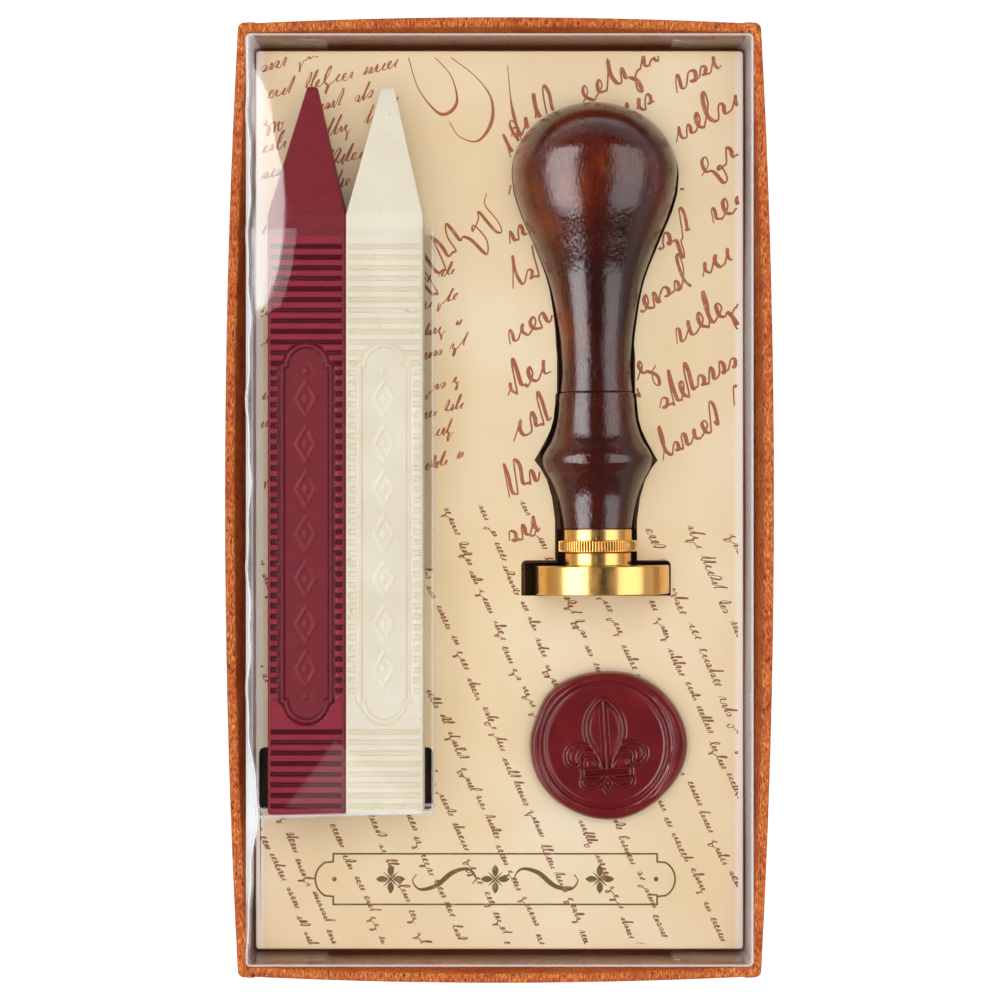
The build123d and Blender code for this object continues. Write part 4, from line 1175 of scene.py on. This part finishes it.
def collar_profile():
    """Outline of the collar, (radius, distance): the knurled band, with extra rows for its
    notches, then a plain one, and back along the bore."""
    bore, end = 3.05, HANDLE_START - 0.05
    corners = [
        (bore, COLLAR_START), (KNURL_RADIUS, COLLAR_START), (KNURL_RADIUS, KNURL_END),
        (NECK_RADIUS, KNURL_END), (NECK_RADIUS, end), (bore, end),
    ]
    outline = eased(corners, 0.14, 3)
    rows = np.linspace(8.05, 9.85, 14)
    band = np.stack([np.full_like(rows, KNURL_RADIUS), rows], -1)
    return np.concatenate([outline[outline[:, 1] < 8.02], band, outline[outline[:, 1] > 9.86]])


piece(
    "handle_turned", [skin(turned(handle_profile(), 160))], "stamp", "wood", wood, ["stamp_handle"]
)
piece(
    "collar_knurled",
    [skin(turned(collar_profile(), 10 * KNURL_COUNT, ripple=knurl))],
    "stamp",
    "brass",
    brass,
    ["brass_collar"],
    30,
)
piece(
    "seal_head_engraved", [skin(seal_head_rings())], "seal_head", "brass", brass, ["seal_head"], 30
)

# ---------------------------------------------------------------- wax seal sample


def seal_rim(angle):
    """Outer edge of the poured wax: an ellipse with slow lobes and a flatter upper left."""
    lobes = 0.012 * np.sin(3 * angle + 0.7) + 0.008 * np.sin(5 * angle + 2.1)
    flat = -0.028 * np.exp(-(((angle - 2.75) / 0.22) ** 2))
    reach = np.hypot(SEAL_HALF_Y * np.cos(angle), SEAL_HALF_X * np.sin(angle))
    return SEAL_HALF_X * SEAL_HALF_Y / reach * (1 + lobes + flat)


def seal_level(x, y):
    """Level of the wax above its underside: the flat print with the lily, a fine ring at its
    edge, and a lip pressed up round it, with folds on the right where wax ran over."""
    px, py = x - PRINT_SHIFT, y
    far = np.hypot(px, py)
    angle = np.arctan2(py, px)
    field = FIELD_LEVEL + lily_height(px, py) * (far < 9.6)
    lip = LIP_LEVEL + 0.12 * np.sin(2 * angle + 0.5) + 0.07 * np.sin(5 * angle)
    level = field + (lip - field) * step(far, PRINT_RADIUS - 0.25, PRINT_RADIUS + 0.9)
    ring = RING_HEIGHT * np.exp(-(((far - PRINT_RADIUS + 0.45) / 0.2) ** 2))
    groove = -GROOVE_DEPTH * np.exp(-(((far - PRINT_RADIUS - 0.15) / 0.22) ** 2))
    right = np.exp(-((np.angle(np.exp(1j * (angle + 0.15))) / 0.75) ** 2))
    fold_at = PRINT_RADIUS + 1.35 + 0.22 * np.sin(7 * angle) + 0.12 * np.sin(15 * angle + 1)
    fold = FOLD_HEIGHT * right * np.exp(-(((far - fold_at) / 0.24) ** 2))
    left = np.exp(-((np.angle(np.exp(1j * (angle - 3.05))) / 0.9) ** 2))
    crease = -CREASE_DEPTH * left * np.exp(-(((far - PRINT_RADIUS - 1.05) / 0.2) ** 2))
    return level + ring + groove + fold + crease


def seal_rings():
    """Wax seal: rings from its middle to near the rim follow the levels above, then the edge
    rounds down to the underside, and a last ring closes it below."""
    angle = np.linspace(0, TAU, 300, endpoint=False)
    edge = seal_rim(angle)[None]

    def carried(share, level):
        x, y = SEAL_X + share * edge * np.cos(angle), SEAL_Y + share * edge * np.sin(angle)
        return np.stack(np.broadcast_arrays(x, y, level), -1)

    share = np.concatenate([np.linspace(0.01, 0.6, 74), np.linspace(0.606, 0.93, 62)])[:, None]
    flat = carried(share, SEAL_LOW_Z)
    levels = SEAL_LOW_Z + seal_level(flat[..., 0] - SEAL_X, flat[..., 1] - SEAL_Y)
    fall = np.linspace(0, 1, 12)[1:, None] * math.pi / 2
    down = levels[-1:] - SEAL_LOW_Z - EDGE_LEVEL
    side = carried(0.93 + 0.07 * np.sin(fall), SEAL_LOW_Z + EDGE_LEVEL + down * np.cos(fall))
    below = carried(np.array([0.985, 0.5, 0.01])[:, None], SEAL_LOW_Z)
    return np.concatenate([carried(share, levels), side, below])


piece(
    "seal_poured", [skin(seal_rings())], "tray", "red_wax", poured_red, ["wax_seal_sample"], 50
)

# ---------------------------------------------------------------- card

handle_high = handle_profile()
handle_high = handle_high[handle_high[:, 1] > 46]
way = np.gradient(handle_high, axis=0)
way /= np.linalg.norm(way, axis=1, keepdims=True)

# Width of the gap beside the handle, at distances along it
GAP_AT = (45, 47.4, 51, 56.7, 61.3, 66, 71.6, 76.3, 80, 84, HANDLE_TOP)
GAP_LEFT = (0.85, 0.75, 0.5, 0.3, 0.16, 0.1, 0.14, 0.14, 0.06, 0.03, 0.03)
GAP_RIGHT = (0.42, 0.4, 0.36, 0.3, 0.28, 0.34, 0.42, 0.38, 0.16, 0.04, 0.03)
OPENING_SHIFT = -0.37
# Half of the opening's lower part, (half width, distance): by the disc, the collar and the bead
OPENING_LOW = (
    (13.95, -0.35), (13.95, 5.3), (13.83, 5.78), (13.49, 6.13), (13.0, 6.27), (7.65, 6.27),
    (7.65, 13.8), (8.2, 17.9), (9.14, 21.2), (10.4, 23.5), (11.5, 24.9), (10.4, 26.8),
    (9.33, 28.8), (8.5, 30.6), (7.93, 32.6), (7.62, 35.6), (7.55, 37.2), (7.28, 37.5),
    (7.28, 44.5),
)


def opening_side(hand, gaps):
    """One side of the stamp's opening, (x, y): straight cuts by the brass, and above them the
    handle's outline set off by a gap that changes with height."""
    low = np.array(OPENING_LOW, float)
    x = STAMP_X + OPENING_SHIFT + hand * low[:, 0]
    straight = np.stack([x, STAMP_Y + low[:, 1]], -1)
    gap = np.interp(handle_high[:, 1], GAP_AT, gaps)
    radius = handle_high[:, 0] + gap * way[:, 1]
    distance = handle_high[:, 1] - gap * way[:, 0]
    lean = -math.sin(STAMP_TILT) * distance
    curved = np.stack([STAMP_X + lean + hand * radius, STAMP_Y + distance], -1)
    return np.concatenate([straight, curved])


opening_right = opening_side(1, GAP_RIGHT)
opening_left = opening_side(-1, GAP_LEFT)
SLOT_X, SLOT_Y = -28.6, -51.9
SLOT_HALF_X, SLOT_HALF_Y = 16.25, 5.8
CARD_BEND = 0.95
CARD = 0.5


def card_plate():
    """Flat top of the card: its outline with two openings filled in between, and the filled
    face drawn down by the card's thickness. Points and faces are sorted at the end, because
    bmesh hands them out in another order each run."""
    half_x, half_y = CARD_HALF_X - CARD_BEND, CARD_HALF_Y - CARD_BEND
    sheet = [(half_x, half_y), (-half_x, half_y), (-half_x, -half_y), (half_x, -half_y)]
    slot = boxed_loop(SLOT_HALF_X, SLOT_HALF_Y, 1.2, along=(2, 2)) + [SLOT_X, SLOT_Y]
    stamp = np.concatenate([opening_right, opening_left[::-1]])
    work = bmesh.new()
    for loop in (sheet, slot, stamp):
        corners = [work.verts.new((x * MM, y * MM, CARD_Z * MM)) for x, y in loop]
        for start, end in zip(corners, corners[1:] + corners[:1]):
            work.edges.new((start, end))
    bmesh.ops.triangle_fill(work, use_beauty=True, edges=work.edges)
    drawn = bmesh.ops.extrude_face_region(work, geom=work.faces)["geom"]
    lower = [part for part in drawn if isinstance(part, bmesh.types.BMVert)]
    bmesh.ops.translate(work, verts=lower, vec=(0, 0, -CARD * MM))
    bmesh.ops.recalc_face_normals(work, faces=work.faces)
    work.verts.index_update()
    points = np.array([vert.co[:] for vert in work.verts]) / MM
    order = np.lexsort(points.T)
    rank = np.argsort(order).tolist()
    faces = []
    for face in work.faces:
        corners = [rank[vert.index] for vert in face.verts]
        first = corners.index(min(corners))
        faces.append(corners[first:] + corners[:first])
    work.free()
    return points[order], sorted(faces)


def card_sides():
    """Folded sides of the card: a section that starts level with the top, bends down round the
    fold and runs to the floor and back up inside, carried round the card."""
    outer = eased([(CARD_BEND, CARD_Z), (0, CARD_Z), (0, FLOOR_Z)], 0.92, 6)
    inner = outer[::-1] + [CARD, 0]
    inner[:, 1] -= CARD * (inner[:, 1] > CARD_Z - 1.2)
    inner[-1] = (CARD_BEND, CARD_Z - CARD)
    inner = inner[(inner[:, 0] <= CARD_BEND) & (inner[:, 1] >= FLOOR_Z)]
    section = np.concatenate([outer, inner])
    inset, level = section[:, 0], section[:, 1]
    flat = boxed_loop(
        CARD_HALF_X - inset,
        CARD_HALF_Y - inset,
        np.maximum(0.7 - inset, 0.002),
        along=(40, 64),
    )
    return np.concatenate(
        [flat, np.broadcast_to(level[:, None, None], (*flat.shape[:2], 1))], -1
    )


points, faces = card_plate()
plate = bpy.data.meshes.new("card_top")
plate.from_pydata((points * MM).tolist(), [], faces)
dressed("card_top", plate, "tray", "card", card, ["platform_card"])
piece("card_sides", [skin(card_sides(), loop=True)], "tray", "card", card, ["platform_card"])

# ---------------------------------------------------------------- print on the card


def pen_run(path, width):
    """Printed stroke: a low bar along a path, (points, 2), with a width at each point. Its
    section is a flat-topped strip that lies on the card, and it gets a little thicker along the
    stroke, so that strokes that cross don't share a level."""
    forward = np.gradient(path, axis=0)
    forward /= np.linalg.norm(forward, axis=1, keepdims=True) + 1e-9
    side = np.stack([-forward[:, 1], forward[:, 0]], -1) * width[:, None] / 2
    corners = [(-1, 0), (-0.94, 1), (0.94, 1), (1, 0)]
    lift = INK_LIFT * (1 + 0.7 * np.linspace(0, 1, len(path)) + path[0, 0] % 1)[:, None]
    rings = [np.concatenate([path + reach * side, CARD_Z + up * lift], 1) for reach, up in corners]
    return skin(np.stack(rings, 1))


def on_board(x, y):
    """True where the card has room for print: clear of its edges, the stamp's opening, the
    slot under the sleeve and the glue under the seal."""
    ok = (np.abs(x) < CARD_HALF_X - 0.95) & (np.abs(y) < CARD_HALF_Y - 0.95)
    right = np.interp(y, opening_right[:, 1], opening_right[:, 0], -99, -99)
    left = np.interp(y, opening_left[:, 1], opening_left[:, 0], 99, 99)
    ok &= ~((x > left - 0.25) & (x < right + 0.25))
    beside_slot = np.abs(x - SLOT_X) > SLOT_HALF_X + 0.25
    ok &= beside_slot | (np.abs(y - SLOT_Y) > SLOT_HALF_Y + 0.25)
    return ok & (np.hypot(x - SEAL_X, y - SEAL_Y) > 7.4)


# Strokes of a made-up hand, (share of the letter's width, share of its height) along the pen
STROKES = np.array(
    [
        [(0.0, 0.05), (0.42, 0.6), (0.6, 1.0), (0.5, 0.5), (0.58, 0.06), (0.86, 0.0)],
        [(0.0, 0.02), (0.62, 0.5), (0.6, 1.0), (0.32, 0.8), (0.38, 0.22), (0.78, -0.04)],
        [(0.04, 0.0), (0.2, 0.72), (0.42, 0.98), (0.55, 0.66), (0.52, 0.12), (0.84, 0.02)],
        [(0.0, 0.3), (0.3, 0.86), (0.66, 0.62), (0.5, 0.1), (0.26, 0.2), (0.8, 0.1)],
    ]
)


def scribble(rng, length, height, slant):
    """Pen path of one word that spells nothing: a row of arches, loops, and now and then a long
    stroke up or down, each a smooth curve through jittered points, sheared by the slant."""
    count = max(2, int(length / (0.8 * height)))
    wide = rng.uniform(0.7, 1.35, count)
    wide *= length / wide.sum()
    start = np.concatenate([[0], np.cumsum(wide)[:-1]])
    chance = rng.random(count)
    tall = np.where(chance < 0.13, 2.2, np.where(chance < 0.22, -1.3, rng.uniform(0.75, 1.1, count)))
    letters = STROKES[rng.integers(0, len(STROKES), count)]
    letters = letters + rng.normal(0, 0.045, letters.shape)
    x = start[:, None] + letters[..., 0] * wide[:, None]
    y = letters[..., 1] * (tall * height)[:, None]
    return flowing(np.stack([x + slant * y, y], -1).reshape(-1, 2), 4)


def written_line(rng, at, angle, length, height, nib, slant=0.5):
    """Strokes of one line: words with gaps, laid along a direction from at. The pen is broad on
    the way down and fine on the way up. Runs stop where the card has no room."""
    shells, along = [], rng.uniform(0, 2)
    c, s = math.cos(math.radians(angle)), math.sin(math.radians(angle))
    while along < length:
        word = min(rng.uniform(2.2, 7.5) * height, length - along + height)
        path = scribble(rng, word, height, slant)
        down = np.clip(-np.gradient(path[:, 1]) / (0.12 * height), 0, 1)
        width = nib * (0.5 + 0.6 * down)
        width *= 0.25 + 0.75 * np.sin(np.linspace(0.15, math.pi - 0.15, len(path))) ** 0.3
        path = path + [along, 0.35 * height * math.sin(0.35 * along)]
        x = at[0] + path[:, 0] * c - path[:, 1] * s
        y = at[1] + path[:, 0] * s + path[:, 1] * c
        ok = on_board(x, y)
        cuts = np.flatnonzero(np.diff(ok.astype(int))) + 1
        for run in np.split(np.arange(len(x)), cuts):
            if len(run) > 3 and ok[run[0]]:
                shells.append(pen_run(np.stack([x, y], -1)[run], width[run]))
        along += word + rng.uniform(0.9, 1.8) * height
    return shells


# Rows of writing in each hand, and how far apart they are
RISING_ROWS, RISING_PITCH = 17, 5.1
BOLD_ROWS, BOLD_PITCH = 9, 9.4
STEEP_ROWS, STEEP_PITCH = 21, 7.6

rng = np.random.default_rng(7)
brown, dark = [], []
for row in range(RISING_ROWS):  # upper left, rising lines
    at = (-46 + rng.uniform(-1, 2), 79.5 - RISING_PITCH * row)
    height = 1.4 if row < 7 else 1.1
    rise = 14 + rng.uniform(-1.5, 1.5)
    room = (-18.5 if row < 9 else -6) - at[0] - rng.uniform(0, 3)
    brown += written_line(rng, at, rise, room, height, 0.36, 0.7)
brown += written_line(rng, (-13.5, 35), 62, 33, 4.8, 0.62, 0.5)  # upper middle, tall hand
for sweep in (  # thin flourishes above it
    [(-17, 82.5), (-15, 76.5), (-11, 72), (-8, 74), (-9, 79), (-12, 82.5)],
    [(-9, 82.5), (-4.5, 79), (-1.6, 75), (-1.5, 70.5), (-4, 67), (-7.5, 67.8), (-9.4, 70.6)],
    [(1.5, 81), (2.2, 74), (3.4, 69), (4.6, 66)],
):
    run = flowing(sweep, 12)
    brown.append(pen_run(run, 0.18 + 0.5 * np.sin(np.linspace(0, math.pi, len(run))) ** 6))
for row in range(BOLD_ROWS):  # right, bold hand
    at = (1.5, 66 - BOLD_PITCH * row)
    brown += written_line(rng, at, 31, 52, 2.7, 0.74, 0.25)
for row in range(STEEP_ROWS):  # lower half, small steep lines
    at = (-80 + STEEP_PITCH * row + rng.uniform(-0.6, 0.6), -2 + rng.uniform(-3, 3))
    if row > 14:
        at = (at[0], at[1] - 4)
    height = 0.85 if row < 14 else 1.15
    dark += written_line(rng, at, -66 + rng.uniform(-1, 1), 95, height, 0.3, 0.45)


LABEL_X, LABEL_Y = -0.8, -70.7
LABEL_HALF_X, LABEL_HALF_Y = 30.2, 4.72
LABEL_ARC = 3.55
LABEL_LINE = 0.33


def plaque():
    """Outline of a plaque: a bar with square corners and a round lobe on each end, from the
    middle of its top line round to there again."""
    turn = np.linspace(math.radians(66), math.radians(-66), 25)
    lobe_x = LABEL_HALF_X - 0.2 + LABEL_ARC * np.cos(turn)
    lobe = np.stack([lobe_x, LABEL_ARC * np.sin(turn)], -1)
    shoulder = [LABEL_HALF_X, lobe[0, 1]]
    lobe[[0, -1], 0] = LABEL_HALF_X
    half = np.concatenate([[[0, LABEL_HALF_Y], [LABEL_HALF_X, LABEL_HALF_Y], shoulder], lobe[1:-1]])
    half = np.concatenate([half, [[LABEL_HALF_X, lobe[-1, 1]]]])
    half = np.concatenate([half, [[LABEL_HALF_X, -LABEL_HALF_Y], [0, -LABEL_HALF_Y]]])
    return np.concatenate([half, half[::-1] * [-1, 1]])


def printed(path, width):
    """Stroke of the label's ink, in the label's own frame."""
    return pen_run(np.asarray(path, float) + [LABEL_X, LABEL_Y], np.asarray(width, float))


label = []
outline = plaque()
for start, end in zip(outline[:-1], outline[1:]):
    run = np.linalg.norm(end - start)
    if run > 0.01:
        over = (end - start) / run * LABEL_LINE / 2
        label.append(printed([start - over, (start + end) / 2, end + over], [LABEL_LINE] * 3))
share = np.linspace(-1, 1, 17)
round_cap = np.sqrt(1 - (0.999 * share) ** 2)
pointed = 1 - share**2
for hand in (-1, 1):
    label.append(printed(np.stack([0.43 * share + hand * 30, 0 * share], -1), 0.86 * round_cap))
    bends = [(4.3, -0.9), (3.6, 0.3), (5.0, 1.9), (8.0, 1.2), (11.0, -1.2), (14, -1.9)]
    scroll = flowing([*bends, (15.4, -0.4), (14.7, 0.9)], 12)
    swell = 0.2 + 0.72 * np.sin(np.linspace(0, math.pi, len(scroll))) ** 4
    label.append(printed(scroll * [hand, 1], swell))
for middle in (-19.5, 0.0, 19.5):  # four-leaved rosettes
    for way in ((1, 0), (0, 1)):
        for hand in (-1, 1):
            leaf = np.outer(hand * (1.55 + 1.15 * share), way) + [middle, 0]
            label.append(printed(leaf, 0.05 + 1.15 * pointed))
    for way in ((0.7, 0.7), (0.7, -0.7)):
        bar = np.outer(1.9 * share, way) + [middle, 0]
        label.append(printed(bar, 0.05 + 0.3 * pointed))

piece("script_brown", brown, "tray", "card", brown_ink)
piece("script_dark", dark, "tray", "card", dark_ink)
piece("label_print", label, "tray", "card", olive_ink)

# ---------------------------------------------------------------- carried-over nodes

for finish, *names in (
    (greyboard, "base_board", "wall_board_left", "wall_board_right", "wall_board_head", "wall_board_foot"),
    (kraft, "corner_stays"),
    (paper, "base_sheet"),
    (tape, "insert_glue_strips"),
    (foam, "foam_insert"),
    (glue, "seal_glue_dot"),
    (steel, "stamp_stud"),
):
    for name in names:
        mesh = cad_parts[name].data
        mesh.materials.clear()
        mesh.materials.append(finish)

# ---------------------------------------------------------------- floor, light, camera


def stage_card(name, corners, finish):
    """Flat card of the studio, corners in metres."""
    mesh = bpy.data.meshes.new(name)
    mesh.from_pydata(corners, [], [tuple(range(len(corners)))])
    mesh.materials.append(finish)
    made = linked(name, mesh)
    return made


def lying(x, y, z):
    """Corners of a level rectangle, from its ranges in x and y and its height."""
    return [(x[0], y[0], z), (x[1], y[0], z), (x[1], y[1], z), (x[0], y[1], z)]


def seen_directly(tree):
    """1 on a ray from the camera, off a mirror or through clear stuff, and otherwise 0."""
    path = node(tree, "ShaderNodeLightPath")
    seen = path.outputs["Is Camera Ray"]
    for kind in ("Is Glossy Ray", "Is Transmission Ray"):
        either = {0: seen, 1: path.outputs[kind]}
        seen = node(tree, "ShaderNodeMath", either, operation="MAXIMUM").outputs[0]
    return seen


def glow(name, strength):
    """Plain white emission for a reflector card."""
    material, tree = blank(name)
    light = node(tree, "ShaderNodeEmission", {"Color": linear("FFFFFF"), "Strength": strength})
    node(tree, "ShaderNodeOutputMaterial", {"Surface": light.outputs[0]})
    return material


def white_floor():
    """Matt white floor, lifted to white for the eye and for mirrors, that keeps shadows."""
    material, tree = blank("white_floor")
    lift = node(tree, "ShaderNodeMath", {0: seen_directly(tree), 1: 0.5}, operation="MULTIPLY")
    matt = node(tree, "ShaderNodeBsdfDiffuse", {"Color": linear("F4F4F4")})
    glowing = node(tree, "ShaderNodeEmission", {"Strength": lift.outputs[0]})
    both = node(tree, "ShaderNodeAddShader", {0: matt.outputs[0], 1: glowing.outputs[0]})
    node(tree, "ShaderNodeOutputMaterial", {"Surface": both.outputs[0]})
    return material


stage_card("floor", lying((-3, 3), (-3, 3), -0.0001), white_floor())


def reflector(name, corners, strength):
    """Card that only mirrors see."""
    made = stage_card(name, corners, glow(name, strength))
    made.visible_camera = False
    made.visible_diffuse = False
    made.visible_shadow = False
    made.visible_transmission = False


# Two long strip boxes, left and right of the camera, as the handle's two streaks show
reflector(
    "strip_left",
    [(-1.15, -0.6, 0.42), (-1.15, 0.8, 0.42), (-0.41, 0.9, 0.84), (-0.41, -0.69, 0.84)],
    5.2,
)
reflector(
    "strip_right",
    [(1.1, -0.52, 0.4), (1.1, 0.8, 0.4), (0.4, 0.9, 0.84), (0.4, -0.6, 0.84)],
    2.3,
)
# Dark card round the camera, so that the flat lid hardly veils what lies under it
reflector("camera_card", lying((-0.16, 0.16), (-0.29, 0.29), 1.2), 0.02)
# Narrow cards across the middle, for the brass: a bright one on the right, a dim one behind it
reflector("brass_card", lying((0.3, 0.56), (-0.1, 0.01), 1.2), 0.62)
reflector("brass_fill", lying((-0.6, 0.6), (-0.1, 0.01), 1.25), 0.4)
# Small bright card whose image lies in the lid over the red stick's point
reflector(
    "glare",
    [
        (-0.116, 0.207, 1.1), (-0.1265, 0.225, 1.1), (-0.1265, 0.092, 1.1), (-0.1125, 0.1, 1.1),
        (-0.107, 0.118, 1.1), (-0.1045, 0.135, 1.1), (-0.104, 0.152, 1.1), (-0.1055, 0.168, 1.1),
        (-0.1105, 0.184, 1.1),
    ],
    5.4,
)
# Faint one over the red stick's butt
reflector(
    "low_glare",
    [(-0.079, -0.120, 1.1), (-0.106, -0.156, 1.1), (-0.038, -0.156, 1.1)],
    0.5,
)


def softbox(name, at, size, energy):
    """Rectangular lamp that faces the middle of the box."""
    data = bpy.data.lights.new(name, "AREA")
    data.shape = "RECTANGLE"
    data.size, data.size_y = size
    data.energy = energy
    lamp = linked(name, data)
    lamp.location = at
    lamp.rotation_euler = (0, math.atan2(at[0], at[2]), 0)
    lamp.visible_glossy = False


softbox("lamp_left", (-0.2, 0.0, 0.95), (0.8, 1.3), 4.6)
softbox("lamp_right", (0.28, 0.0, 0.92), (0.8, 1.3), 3.7)

# White surroundings: even for the light they give, but seen or mirrored they are bright low
# down and dim overhead, so that the flat lid stays clear
world = bpy.data.worlds.new("studio")
bpy.context.scene.world = world
world.use_nodes = True
tree = world.node_tree
tree.nodes.clear()
aim = node(tree, "ShaderNodeTexCoord").outputs["Generated"]
height = node(tree, "ShaderNodeSeparateXYZ", {0: aim}).outputs[2]
overhead = node(
    tree,
    "ShaderNodeMapRange",
    {"Value": height, "From Min": 0.2, "From Max": 0.36, "To Min": 0.6, "To Max": 0.1},
).outputs[0]
level = node(tree, "ShaderNodeMix", {0: seen_directly(tree), 2: 0.45, 3: overhead}).outputs[0]
sky = node(tree, "ShaderNodeBackground", {"Color": (1, 1, 1, 1), "Strength": level})
node(tree, "ShaderNodeOutputWorld", {"Surface": sky.outputs[0]})

# The camera looks straight down on the card, a hair off the middle. Lengths are in metres.
CAMERA_ABOVE_CARD = 0.6
CAMERA_SHIFT = 0.00009
eye = bpy.data.cameras.new("photo_camera")
eye.lens = 115.7
eye.sensor_width = 36
eye.clip_start = 0.01
camera = linked("photo_camera", eye)
camera.location = (CAMERA_SHIFT, -CAMERA_SHIFT, CARD_Z * MM + CAMERA_ABOVE_CARD)

scene = bpy.context.scene
scene.camera = camera
scene.view_settings.view_transform = "Standard"
